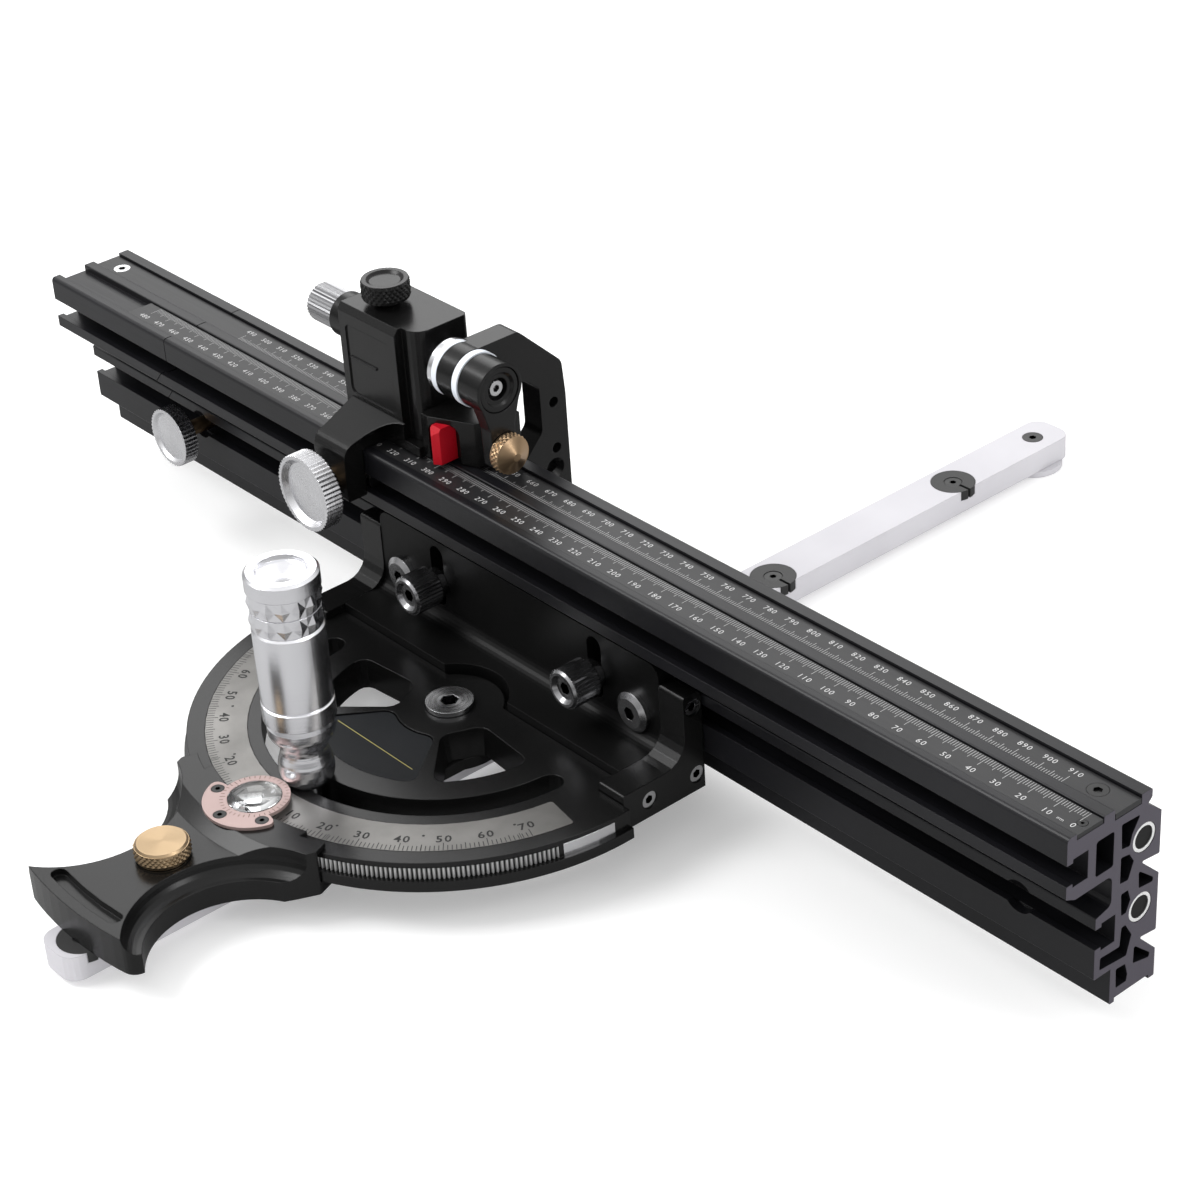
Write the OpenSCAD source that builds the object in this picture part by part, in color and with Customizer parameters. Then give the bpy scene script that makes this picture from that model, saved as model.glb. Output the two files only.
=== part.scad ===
// Mitre gauge with a tall extending fence and a flip stop.
// Frame: origin where the pivot axis meets the top of the mitre bar (the table surface).
// +X runs along the fence to its zero end, +Y along the bar away from the handle, +Z is up.
// Angles named *_deg are measured about the pivot from the handle's side (-Y).

/* [View] */
// Piece to build, or all of them

/* [Fits] */
// Gap between parts that slide past each other
slide_gap = 0.3; // [0.2:0.05:0.5]
// Radial gap of a running shaft in its bore
run_gap = 0.05; // [0.01:0.01:0.1]
// Radial gap round a fixed screw or inset piece
set_gap = 0.1; // [0.05:0.05:0.3]

/* [Mitre bar] */
// Width of the bar, to suit a 3/4 inch table slot
bar_w = 19.05; // [15:0.05:25]
// Thickness of the bar
bar_t = 9.5; // [6:0.1:12]
// Length of bar that shows past the arm's end
bar_past = 8; // [2:1:40]
// Bar length from the pivot away from the handle
bar_back = 312; // [200:1:400]
// Corner radius of the bar's ends
bar_corner = 6; // [1:0.5:9]
// Radius of a split expansion disc
disc_r = 8.8; // [7:0.1:9.2]
// Thickness of an expansion disc
disc_t = 4; // [3:0.5:6]
// Sideways shift that lets a disc stand proud of the bar
disc_shift = 1.5; // [0.5:0.1:2]
// Distance of the front disc's centre from the arm's end
disc_in = 3; // [0:0.5:6]
// Places of the two discs behind the fence
back_disc_y = [153, 251];
// Place of the retaining disc's screw along the bar
end_screw_y = 299; // [200:1:300]
// Head radius of the retaining disc's screw
end_screw_r = 4.2; // [3:0.1:5]
// Radius of the T-slot retaining disc
retainer_r = 12; // [11:0.5:12.5]
// Thickness of the retaining disc
retainer_t = 2.5; // [2:0.1:4]

/* [Index arm] */
// Height of the arm casting above the bar
arm_h = 13.5; // [10:0.5:20]
// Height of the head's underside above the bar
head_z = 4.5; // [4:0.5:8]
// Length of the arm beyond the rim
arm_reach = 65.5; // [56:0.5:75]
// Half width of the wings at the rim
wing_x = 38.5; // [30:0.5:42]
// Half width of the flared end
flare_x = 31.5; // [25:0.5:36]
// Radius of the waist
waist_r = 30.6; // [25:0.1:40]
// Sideways place of the waist's centre
waist_x = 47.4; // [42:0.1:60]
// Distance of the waist's centre beyond the rim
waist_reach = 32.5; // [27:0.5:38]
// Radius of the cove that runs round the waist
cove_r = 6; // [3:0.5:7]
// Half width of the tongue under the plate
tongue_x = 17; // [12:1:19]
// Radius of the tongue's end round the pivot
tongue_r = 19; // [15:1:22]
// Height of the collar over the rim
collar_top = 17; // [16:0.1:20]
// How far the collar's roof laps over the rim in its middle
collar_lap = 6; // [3.5:0.5:7.5]
// Reach of the collar's flat top beyond the rim
flat_reach = 6.5; // [3:0.5:9]
// Reach of the collar's foot beyond the rim
foot_reach = 12.5; // [9:0.5:16]
// Half width of the collar's deep middle part
collar_mid_x = 27; // [20:1:30]
// Distance of the pocket's middle from the arm's end
pocket_in = 6.5; // [4:0.5:11]
// Half angle of that pocket
pocket_deg = 7.3; // [3:0.1:10]
// Width of that pocket
pocket_w = 5.4; // [3:0.1:8]
// Depth of that pocket
pocket_depth = 2.5; // [1:0.5:4]
// Distances from the pivot, the rim and the arm's end of the screws that hold the arm to the bar
arm_screw_in = [30, 8.5, 17];

/* [Index pawl] */
// Distance of the brass knob beyond the rim
knob_reach = 28.3; // [22:0.1:33]
// Radius of the brass knob
knob_r = 9.65; // [7:0.05:11]
// Height of the brass knob
knob_h = 6; // [4:0.5:8]
// Travel of the pawl out of the teeth
pawl_travel = 4; // [3:0.5:6]
// Half width of the pawl
pawl_x = 7; // [4:0.5:8]
// Radius of the knob's stem
stem_r = 4; // [2.5:0.1:5]

/* [Eyepiece] */
// Distance of the lens's centre inside the rim
lens_in = 8.8; // [8:0.1:9.5]
// Radius of the lens
lens_r = 9.3; // [6:0.1:10]
// Outer radius of the ring round the lens
eye_r = 12; // [10:0.1:12.2]
// Thickness of the copper-coloured plate
eye_t = 1.2; // [0.8:0.1:2]
// Height of the lens dome over the plate
dome_h = 3; // [1:0.1:4]
// Radius of the plate's broad side, round the lens
eye_out = 17.6; // [16.8:0.1:18.5]
// Half angle of that side
eye_deg = 78; // [74:1:82]
// Distance of the eyepiece's screws from the lens's centre
eye_screw_r = 14.1; // [13.8:0.1:14.4]
// Angle between the eyepiece's screws
eye_screw_deg = 64.5; // [55:0.5:66]

/* [Clamp handle] */
// Distance of the handle's axis inside the rim
handle_in = 30.5; // [29.5:0.5:33]
// Height of the handle
handle_h = 82; // [60:1:100]
// Radius of the barrel
barrel_r = 12.4; // [10:0.1:13]
// Radius of the neck
neck_r = 8; // [6:0.1:10]
// Radius of the foot's bulge
foot_r = 9.6; // [9:0.1:9.8]
// Radius of the fixed stud inside
stud_r = 4; // [3:0.1:4.3]
// Diamonds round the grip
diamonds = 14; // [8:1:20]

/* [Protractor plate] */
// Top of the plate
plate_top = 15; // [12:0.5:16]
// Radius of the plate's rim
rim_r = 91.5; // [85:0.5:95]
// Reach of the flange beyond the rim
flange_reach = 1.5; // [1:0.1:2]
// Top of the flange and foot of the teeth
flange_top = 8.5; // [7:0.5:10]
// Top of the teeth
teeth_top = 13; // [11:0.5:14]
// Half angle of the toothed part
teeth_deg = 74; // [60:1:80]
// Depth of a tooth
tooth_depth = 1.1; // [0.4:0.1:1.3]
// Distance of the scale band's outer edge inside the rim
band_inset = 6.5; // [5:0.5:8]
// Width of the scale band
band_w = 14.5; // [11:0.5:16]
// Half angle of the scale band
band_deg = 80; // [70:1:85]
// Thickness of the scale band
band_t = 0.6; // [0.4:0.1:1]
// Width of the curved clamp slot
slot_w = 9; // [8.6:0.1:10]
// Half angle of the curved clamp slot
slot_deg = 85; // [75:1:86]
// Outer radius of the windows and of the badge recess
window_out = 46; // [40:0.5:48]
// Angles at which a window starts and ends
window_deg = [43, 88];
// Inner radius of the windows
window_in = 17; // [14:0.5:20]
// Half angle of the badge recess
badge_deg = 37; // [20:1:40]
// Radius of the pivot screw's head
pivot_head_r = 8.5; // [7:0.1:10]
// Radius of the pivot screw's shoulder
pivot_r = 6; // [4:0.1:7]
// Places of the screws that hold the bracket to the plate
plate_screw_at = [[-48, 20], [-26, 24], [26, 24], [48, 20]];

/* [Head bracket] */
// Half width of the bracket between the cheeks
bracket_x = 76; // [60:1:90]
// Width of one end cheek
cheek_w = 12; // [8:1:16]
// Height of the bracket's base
base_top = 18.2; // [16:0.1:18.2]
// Front edge of the base
base_front = 11.7; // [9:0.1:14]
// Front edge of the cheeks
cheek_front = 2.9; // [1:0.1:6]
// Front of the upright wall
wall_front = 31; // [29:0.5:33]
// Back of the bracket, just in front of the fence
wall_back = 39.3; // [38:0.1:39.3]
// Top of the upright wall
wall_top = 50; // [45:0.5:51]
// Top of the cheeks
cheek_top = 43.5; // [38:0.5:46]
// Side place of each thumb screw
thumb_x = 43; // [30:1:55]
// Radius of a thumb screw's head
thumb_r = 7.5; // [6:0.1:9]
// Front of a thumb screw's head
thumb_front = 16; // [12:0.5:20]
// Side place of each button-head screw
button_x = 63.5; // [58:0.5:66]
// Radius of a button-head screw
button_r = 7.5; // [5:0.1:8]
// Places of a cheek's screws, across and up
cheek_screw_at = [[35, 38.1], [35.7, 10.9], [14.4, 11.2]];

/* [Fence] */
// Right end of the fence, its zero end
fence_right = 258.15; // [200:0.5:300]
// Left end of the extension
fence_left = -283.25; // [-350:0.5:-250]
// Place of the seam at the top
seam_x = -202.5; // [-220:0.5:-190]
// Height below which the seam slants
seam_z = 66.5; // [60:0.5:70]
// Slant of the seam, sideways per unit of height
seam_slope = 0.87; // [0.5:0.01:1.2]
// Width of the seam
seam_gap = 0.4; // [0.3:0.1:1]
// Front of the two upper ledges
lip_front = 26.1; // [25:0.1:28]
// Front of the two lower ledges
ledge_front = 39.6; // [39.6:0.1:42]
// Back face, which the work lies against
back_face = 67.5; // [65:0.5:70]
// Top of the front lip
lip_top = 76.9; // [75:0.1:78]
// Centre height of the upper T-slot
slot1_z = 63.7; // [60:0.1:65]
// Centre height of the lower T-slot
slot2_z = 33.1; // [31:0.1:35]
// Opening of the T-slots
t_open = 7.5; // [6:0.1:8]
// Depth of the channel between the slots, measured to its back
channel_back = 46.3; // [42:0.1:48]
// Height of the front scale's seat
strip_seat = 74.8; // [74:0.1:76]
// Thickness of the front scale strip
strip_t = 1.5; // [1:0.1:1.8]
// Left end of the front scale strip
strip_left = -234; // [-240:1:-205]
// Top of the rail between the two scales
rail_top = 77; // [76.5:0.1:77.2]
// Height of the core bar's slot
core_seat = 73.1; // [72:0.1:74]
// Thickness of the core bar
core_t = 1.9; // [1.5:0.1:2.5]
// Back edge of the front scale's seat
strip_back = 41.8; // [41.5:0.1:42]
// Front edge of the core bar's slot
core_front = 46.5; // [46.2:0.1:47]
// Back edge of the core bar's slot
core_back = 58.3; // [57.5:0.1:58.5]
// Places of the core bar's screws along the fence
core_screw_x = [-272, 246.5];
// Place of the screw in the front scale
scale_screw_x = 255; // [240:0.5:256]
// Radius of a guide rod
rod_r = 5; // [4:0.1:5.2]
// Bore inside a guide rod
rod_bore = 3.9; // [2:0.1:4.2]
// Places of the two guide rods, across and up
rod_at = [[60.1, 60.1], [59.6, 34.7]];
// Radius of the round notches that let a nut into the lower slot
notch_r = 5.75; // [5:0.05:6.5]
// Places of those notches along the fence
notch_x = [-206, 228];

/* [Extension lock] */
// Place of the lock along the fence
lock_x = -206; // [-215:1:-195]
// Radius of the lock knob
lock_r = 12; // [9:0.5:13]
// Front of the lock knob
lock_front = 24; // [20:0.5:28]
// Thickness of the lock knob
lock_t = 6; // [4:0.5:8]
// Radius of the brass bolts
bolt_r = 3; // [2.5:0.1:3.5]

/* [Stop carriage] */
// Left side of the tower
tower_left = -96; // [-99:0.5:-95]
// Right side of the tower
tower_right = -54.4; // [-56:0.1:-53]
// Front of the tower's raised panel
tower_front = 36.5; // [36:0.1:38]
// Front of the tower beside that panel
tower_face = 40; // [38.5:0.1:41]
// Right side of the raised panel
panel_right = -63; // [-66:0.5:-61]
// Back of the tower and of the base
tower_back = 63; // [58:0.5:64]
// Top of the tower
tower_top = 124.5; // [120:0.5:130]
// Bottom of the tower, where it stands on the saddle
tower_bottom = 81; // [79:0.5:84]
// Radius of the boss on the tower's left side
boss_r = 8.5; // [7:0.1:10]
// Right side of the base block
base_right = -29.4; // [-32:0.1:-29.3]
// Front of the base block at its right end
block_front = 46.2; // [42:0.1:48]
// Top of the base block
block_top = 94.5; // [92:0.5:96]
// Left side of the skirt that hooks over the fence
skirt_left = -92.4; // [-95:0.1:-91]
// Right side of the skirt
skirt_right = -74.2; // [-76:0.1:-73]
// Front of the skirt
skirt_front = 17.4; // [16.5:0.1:19]
// Bottom of the skirt
skirt_bottom = 59; // [52:0.5:59.5]
// Sideways reach of the sweep from the skirt to the tower
sweep_x = 12.6; // [8:0.1:14]
// Place of the stop's clamping knob along the fence
stop_x = -84.5; // [-88:0.5:-84]
// Radius of that knob
stop_r = 14.75; // [12:0.25:16]
// Front of that knob
stop_front = 5; // [3:0.5:8]
// Thickness of that knob
stop_t = 8; // [6:0.5:9]
// Place of the pointer's left side
pointer_x = -47.6; // [-48:0.1:-45]
// Width of the pointer
pointer_w = 5; // [4:0.5:9]

/* [Stop shaft] */
// Height of the shaft
shaft_z = 111.5; // [110:0.5:113]
// Place of the shaft across the fence
shaft_y = 49; // [48:0.5:51]
// Radius of the shaft
shaft_r = 5; // [4:0.1:6]
// Travel of the fine adjustment each way
micro_travel = 2.5; // [1:0.1:2.6]
// Radius of the fine adjustment knob
micro_r = 7.5; // [6:0.1:9]
// Left end of the fine adjustment knob
micro_left = -124; // [-130:1:-120]
// Right end of the fine adjustment knob
micro_right = -108.3; // [-109:0.1:-108]
// Thickness of the steel thrust ring
ring_t = 2.2; // [1:0.1:2.6]
// Thickness of each white washer
washer_t = 2.7; // [2:0.1:3.4]
// Radius of the white washers
washer_r = 10.2; // [9:0.1:10.2]
// Radius of the rear arm's hub
rear_hub_r = 10.25; // [10.25:0.05:11]
// Radius of the front arm's hub
front_hub_r = 9.75; // [9:0.05:11]
// Depth of the cap in the front hub's end
cap_t = 4.4; // [3:0.1:5]
// Radius of the lock knob on top of the tower
top_r = 9; // [7:0.1:11]
// Place of the lock knob on top along the fence
top_x = -82.7; // [-86:0.5:-75]

/* [Stop arms] */
// Left end of the rear arm's hub
rear_left = -43.3; // [-44:0.1:-43]
// Right end of the rear arm's hub
rear_right = -35.3; // [-36:0.1:-35]
// Left side of the rear arm's plate
plate_left = -45.4; // [-46:0.1:-44]
// Farthest reach of the rear arm behind the fence
rear_back = 89.3; // [88.5:0.1:110]
// Front of the rear arm's upright, behind the window
window_back = 77.5; // [74:0.1:78]
// Bottom of the rear arm
rear_bottom = 12; // [6:1:20]
// Right side of the front arm
front_right = -21; // [-21.5:0.1:-20]
// Thickness of the front arm's leg
leg_t = 5.5; // [4:0.1:5.5]
// Bottom of the front arm's leg
leg_bottom = 81; // [80.5:0.5:82]
// Height of the brass thumb screw in the leg
leg_screw_z = 87.6; // [87:0.1:92]
// Radius of that thumb screw
leg_screw_r = 7.5; // [5:0.1:8]

/* [Hidden] */
$fn = 64;
// Top of the tongue, a sliding gap below the head
tongue_top = head_z - 0.2;
// Underside of the collar
roof_z = plate_top + slide_gap;
// Rings and places that follow the rim
flange_r = rim_r + flange_reach;
band_out = rim_r - band_inset;
band_in = band_out - band_w;
collar_in = rim_r - collar_lap;
collar_flat = rim_r + flat_reach;
collar_out = rim_r + foot_reach;
lens_y = lens_in - rim_r;
handle_y = rim_r - handle_in;
knob_y = -rim_r - knob_reach;
waist_y = -rim_r - waist_reach;
// Ends and places that follow the arm
arm_end_r = rim_r + arm_reach;
bar_front = arm_end_r + bar_past;
pocket_r = arm_end_r - pocket_in;
disc_y = concat([disc_in - arm_end_r], back_disc_y);
arm_screw_y = [-arm_screw_in[0], -rim_r - arm_screw_in[1], arm_screw_in[2] - arm_end_r];
core_y = (core_front + core_back) / 2;
// Radius inside which the arm leaves room for the head
cavity_r = flange_r + 0.4;
// The collar keeps this far out beside its middle, for the turning cheeks
collar_side = norm([bracket_x + cheek_w, cheek_front]) + 0.65;
cheek_x = bracket_x + cheek_w;
// Left side of the cap in the front hub's end
cap_left = front_right - cap_t - slide_gap;
// Chamber of a T-slot: height and depth behind the ledge
t_wide = t_open + 2.6;
t_lip = 2.6;
t_deep = 6.2;
black = [0.07, 0.07, 0.075];
dark = [0.16, 0.15, 0.18];
steel = [0.75, 0.76, 0.78];
brass = [0.78, 0.6, 0.3];

// Point at radius r and angle a about the pivot, measured from -Y towards +X.
function polar(r, a) = r * [sin(a), -cos(a)];
// Places of the eyepiece's screws round the lens.
function eye_screw_at() = [for (i = [-1:1]) [0, lens_y] + polar(eye_screw_r, i * eye_screw_deg)];
// Angle that a length takes up at a radius.
function arc_deg(length, r) = length / r * 180 / PI;
function unit(v) = v / norm(v);

// Arc of radius r that rounds the corner b between its neighbours a and c.
function corner(a, b, c, r, steps) =
    let (
        to_a = unit(a - b),
        to_c = unit(c - b),
        half = acos(to_a * to_c) / 2,
        centre = b + unit(to_a + to_c) * r / sin(half),
        first = b + to_a * r / tan(half) - centre,
        last = b + to_c * r / tan(half) - centre,
        start = atan2(first[1], first[0]),
        turn = (atan2(last[1], last[0]) - start + 540) % 360 - 180
    )
    [for (i = [0:steps]) centre + r * [cos(start + turn * i / steps), sin(start + turn * i / steps)]];

// Outline whose corners [x, y, radius] are rounded.
function rounded(points, steps = 5) =
    let (n = len(points), flat = [for (p = points) [p[0], p[1]]])
    [for (i = [0:n - 1])
        each points[i][2] > 0
            ? corner(flat[(i + n - 1) % n], flat[i], flat[(i + 1) % n], points[i][2], steps)
            : [flat[i]]];

// Rectangle from low to high with one corner radius.
function rounded_box(low, high, r) =
    rounded([[low[0], low[1], r], [high[0], low[1], r], [high[0], high[1], r], [low[0], high[1], r]]);

// Part of a ring between two radii and two angles, with rounded corners.
function sector(r0, r1, a0, a1, round_r) =
    let (outer = arc_deg(round_r, r1), inner = arc_deg(round_r, r0), steps = ceil((a1 - a0) / 5))
    concat(
        [for (t = [0:30:90]) polar(r1 - round_r * (1 - sin(t)), a0 + outer * (1 - cos(t)))],
        [for (i = [1:steps - 1]) polar(r1, a0 + outer + (a1 - a0 - 2 * outer) * i / steps)],
        [for (t = [0:30:90]) polar(r1 - round_r * (1 - cos(t)), a1 - outer * (1 - sin(t)))],
        [for (t = [0:30:90]) polar(r0 + round_r * (1 - sin(t)), a1 - inner * (1 - cos(t)))],
        [for (i = [1:steps - 1]) polar(r0, a1 - inner - (a1 - a0 - 2 * inner) * i / steps)],
        [for (t = [0:30:90]) polar(r0 + round_r * (1 - cos(t)), a0 + inner * (1 - sin(t)))]
    );

// Extrudes an outline drawn in (y, z) along X.
module along_x(from, to) {
    translate([from, 0, 0]) rotate([90, 0, 90]) linear_extrude(to - from) children();
}

// Extrudes an outline drawn in (x, z) along Y.
module along_y(from, to) {
    translate([0, to, 0]) rotate([90, 0, 0]) linear_extrude(to - from) children();
}

// Points a piece built along Z down the X axis from x, at (y, z).
module facing_x(x, y, z) {
    translate([x, y, z]) rotate([0, 90, 0]) children();
}

// Points a piece built along Z down the Y axis from y, at (x, z).
module facing_y(x, y, z) {
    translate([x, y, z]) rotate([-90, 0, 0]) children();
}

module box(low, high) {
    translate(low) cube(high - low);
}

// Straight-knurled disc or barrel.
module straight_knurl(r, h, teeth, depth) {
    step = 180 / teeth;
    linear_extrude(h)
        polygon([for (i = [0:2 * teeth - 1]) (r - (i % 2) * depth) * [cos(step * i), sin(step * i)]]);
}

// Barrel covered in rows of diamond points, as a staggered grid of high and low points.
module diamond_knurl(r, h, around, rows, depth) {
    count = 2 * around;
    function ring_r(i, j) = j == 0 || j == rows ? r - depth : r - ((i + j) % 2) * depth;
    points = concat(
        [for (j = [0:rows], i = [0:count - 1])
            [ring_r(i, j) * cos(360 * i / count), ring_r(i, j) * sin(360 * i / count), h * j / rows]],
        [[0, 0, 0], [0, 0, h]]
    );
    function at(i, j) = j * count + i % count;
    sides = [for (j = [0:rows - 1], i = [0:count - 1])
        each (i + j) % 2 == 0
            ? [[at(i, j), at(i, j + 1), at(i + 1, j)], [at(i + 1, j), at(i, j + 1), at(i + 1, j + 1)]]
            : [[at(i, j), at(i, j + 1), at(i + 1, j + 1)], [at(i, j), at(i + 1, j + 1), at(i + 1, j)]]];
    foot = (rows + 1) * count;
    ends = [for (i = [0:count - 1])
        each [[foot, at(i, 0), at(i + 1, 0)], [foot + 1, at(i + 1, rows), at(i, rows)]]];
    polyhedron(points, concat(sides, ends));
}

// Screw standing on its head's top at z = 0, shank downwards, with a hexagon socket.
module socket_screw(head_r, head_h, shank_r, length, socket_r) {
    difference() {
        union() {
            translate([0, 0, -head_h]) cylinder(r = head_r, h = head_h);
            translate([0, 0, -length]) cylinder(r = shank_r, h = length - head_h + 0.01);
        }
        translate([0, 0, -head_h * 0.6]) cylinder(r = socket_r, h = head_h, $fn = 6);
    }
}

// Countersunk screw with its flat top at z = 0 and a hexagon socket.
module flat_screw(head_r, shank_r, length, socket_r) {
    difference() {
        union() {
            translate([0, 0, shank_r - head_r]) cylinder(r1 = shank_r, r2 = head_r, h = head_r - shank_r);
            translate([0, 0, -length]) cylinder(r = shank_r, h = length - 0.5);
        }
        translate([0, 0, -(head_r - shank_r) * 0.7]) cylinder(r = socket_r, h = head_r, $fn = 6);
    }
}

// Room for a flat_screw, with clearance.
module flat_sink(head_r, shank_r, length) {
    translate([0, 0, shank_r - head_r])
        cylinder(r1 = shank_r + set_gap, r2 = head_r + set_gap, h = head_r - shank_r);
    translate([0, 0, -length]) cylinder(r = shank_r + set_gap, h = length);
    cylinder(r = head_r + set_gap, h = 1);
}

// Mitre bar and what it carries

module mitre_bar() color(steel) difference() {
    translate([0, 0, -bar_t]) linear_extrude(bar_t)
        polygon(rounded_box([-bar_w / 2, -bar_front], [bar_w / 2, bar_back], bar_corner));
    for (y = disc_y) {
        translate([disc_shift, y, -disc_t]) cylinder(r = disc_r + set_gap, h = disc_t + 1);
        translate([disc_shift, y, -8.2]) cylinder(r = 2.1, h = 8);
    }
    translate([0, end_screw_y, 0]) flat_sink(end_screw_r, 2.5, bar_t + 1);
    for (y = arm_screw_y) translate([0, y, -bar_t]) mirror([0, 0, 1]) flat_sink(4, 2, bar_t + 1);
    translate([0, -handle_y, -8]) cylinder(r = stud_r + set_gap, h = 9);
    translate([0, 0, -8]) cylinder(r = 4 + set_gap, h = 9);
}

module expansion_discs() color(dark) for (y = disc_y) translate([disc_shift, y, 0]) difference() {
    translate([0, 0, -disc_t]) cylinder(r = disc_r, h = disc_t);
    translate([0, 0, -0.2]) flat_sink(3.5, 2, disc_t + 1);
    translate([0, -0.6, -disc_t - 1]) cube([disc_r + 1, 1.2, disc_t + 2]);
}

module disc_screws() color([0.1, 0.1, 0.1])
    for (y = disc_y) translate([disc_shift, y, -0.2]) flat_screw(3.5, 2, 7.8, 1.3);

module bar_end_screw() color([0.15, 0.15, 0.16]) translate([0, end_screw_y, 0])
    flat_screw(end_screw_r, 2.5, bar_t + retainer_t - 0.3, 1.5);

module retaining_disc() color([0.3, 0.3, 0.32])
    translate([0, end_screw_y, -bar_t - retainer_t]) difference() {
        cylinder(r = retainer_r, h = retainer_t);
        translate([0, 0, -1]) cylinder(r = 2.5 + set_gap, h = retainer_t + 2);
    }

// Index arm

module arm_plan() {
    corner_deg = asin(flare_x / arm_end_r);
    inside = waist_x - waist_r + 3;
    side = [[wing_x - 3.5, 14.5 - rim_r, 0], [wing_x, 5.5 - rim_r, 2], [wing_x - 3.5, -rim_r - 2, 2],
        [wing_x - 7, -rim_r - 8.5, 0], [inside, waist_y + 9, 0], [inside, waist_y - 9, 0],
        [flare_x, 13 - arm_end_r, 3], [flare_x - 0.3, -arm_end_r * cos(corner_deg), 5]];
    end = [for (i = [-4:4]) polar(arm_end_r, -(corner_deg - 3) * i / 4)];
    polygon(rounded(concat(
        side,
        [for (p = end) [p[0], p[1], 0]],
        [for (i = [len(side) - 1:-1:0]) [-side[i][0], side[i][1], side[i][2]]]
    )));
}

module index_arm() color(black) difference() {
    union() {
        difference() {
            union() {
                linear_extrude(arm_h) arm_plan();
                collar_top_part();
            }
            translate([0, 0, tongue_top]) cylinder(r = cavity_r, h = roof_z - tongue_top);
            translate([0, 0, roof_z - 1]) cylinder(r = collar_in, h = 10);
            for (s = [-1, 1]) collar_relief(s);
            for (s = [-1, 1]) waist_cut(s);
        }
        translate([-tongue_x, -cavity_r - 2, 0]) cube([2 * tongue_x, cavity_r + 2, tongue_top]);
        cylinder(r = tongue_r, h = tongue_top);
    }
    for (y = arm_screw_y) translate([0, y, -1]) cylinder(r = 2 + set_gap, h = 4.8);
    translate([0, -handle_y, -1]) cylinder(r = stud_r + set_gap, h = 10);
    translate([0, 0, -1]) cylinder(r = 4 + set_gap, h = 10);
    translate([0, lens_y, roof_z - 1]) cylinder(r = lens_r + set_gap, h = 5);
    for (p = eye_screw_at()) translate([p[0], p[1], collar_top - 5]) cylinder(r = 1.4 + set_gap, h = 6);
    box([-pawl_x - slide_gap, knob_y - 13 - pawl_travel, tongue_top + 0.3],
        [pawl_x + slide_gap, -rim_r, tongue_top + 6.9]);
    knob_slot();
    arm_pocket();
}

// Raised part of the arm over the rim of the plate, chamfered towards the waist.
module collar_top_part() intersection() {
    union() {
        translate([0, 0, arm_h - 1]) cylinder(r = collar_out, h = 1.01);
        translate([0, 0, arm_h]) cylinder(r1 = collar_out, r2 = collar_flat, h = collar_top - arm_h);
    }
    linear_extrude(40) arm_plan();
}

// Beside its middle the collar's roof is cut back, so that the turning cheeks clear it.
module collar_relief(s) intersection() {
    translate([0, 0, tongue_top + 1]) cylinder(r = collar_side, h = 40);
    translate([s * (collar_mid_x + 25) - 25, -cavity_r, 0]) cube([50, cavity_r, 40]);
}

// Round waist with a cove along its upper edge.
module waist_cut(s) translate([s * waist_x, waist_y, 0]) rotate_extrude()
    polygon(concat([[0, -1], [waist_r, -1], [waist_r, arm_h - cove_r]],
        [for (t = [15:15:90]) [waist_r + cove_r * sin(t), arm_h - cove_r * cos(t)]],
        [[waist_r + cove_r, 20], [0, 20]]));

module knob_slot() {
    side = stem_r + slide_gap;
    translate([0, 0, tongue_top + 5]) linear_extrude(12)
        polygon(rounded_box([-side, knob_y - pawl_travel - side], [side, knob_y + side], side - 0.1));
}

module arm_pocket() {
    half = pocket_w / 2;
    translate([0, 0, arm_h - pocket_depth]) linear_extrude(10)
        polygon(sector(pocket_r - half, pocket_r + half, -pocket_deg, pocket_deg, half - 0.1));
}

module arm_screws() color(steel)
    for (y = arm_screw_y) translate([0, y, -bar_t]) mirror([0, 0, 1]) flat_screw(4, 2, bar_t + 3.6, 1.5);

module pivot_screw() color(steel) difference() {
    union() {
        translate([0, 0, plate_top + 0.1]) cylinder(r = pivot_head_r, h = 1.9);
        translate([0, 0, tongue_top]) cylinder(r = pivot_r, h = plate_top - tongue_top + 0.2);
        translate([0, 0, -7.8]) cylinder(r = 4, h = 8 + tongue_top);
    }
    translate([0, 0, plate_top - 2]) cylinder(r = 3.4, h = 6, $fn = 6);
}

module clamp_stud() color(steel) translate([0, -handle_y, -7.8]) cylinder(r = stud_r, h = 42);

// Eyepiece

module eyepiece_plate() color([0.8, 0.6, 0.52]) difference() {
    union() {
        translate([0, lens_y, collar_top]) cylinder(r = eye_r, h = eye_t);
        translate([0, lens_y, collar_top]) linear_extrude(eye_t)
            polygon(sector(lens_r + 1, eye_out, -eye_deg, eye_deg, 2.5));
    }
    translate([0, lens_y, 0]) cylinder(r = lens_r - 0.3 + set_gap, h = 40);
    for (p = eye_screw_at()) translate([p[0], p[1], collar_top + eye_t]) flat_sink(2.3, 1.4, 4);
}

module eyepiece_screws() color([0.08, 0.08, 0.08])
    for (p = eye_screw_at()) translate([p[0], p[1], collar_top + eye_t])
        flat_screw(2.3, 1.4, eye_t + collar_top - roof_z - 0.2, 0.9);

module lens() color([0.75, 0.78, 0.8]) translate([0, lens_y, 0]) union() {
    translate([0, 0, collar_top - 0.8]) cylinder(r = lens_r - 0.3, h = eye_t + 0.8);
    dome_r = (lens_r * lens_r + dome_h * dome_h) / (2 * dome_h);
    intersection() {
        translate([0, 0, collar_top + eye_t]) cylinder(r = lens_r, h = dome_h + 1);
        translate([0, 0, collar_top + eye_t + dome_h - dome_r]) sphere(r = dome_r, $fn = 96);
    }
}

// Index pawl, drawn out of the teeth by the brass knob

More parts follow.
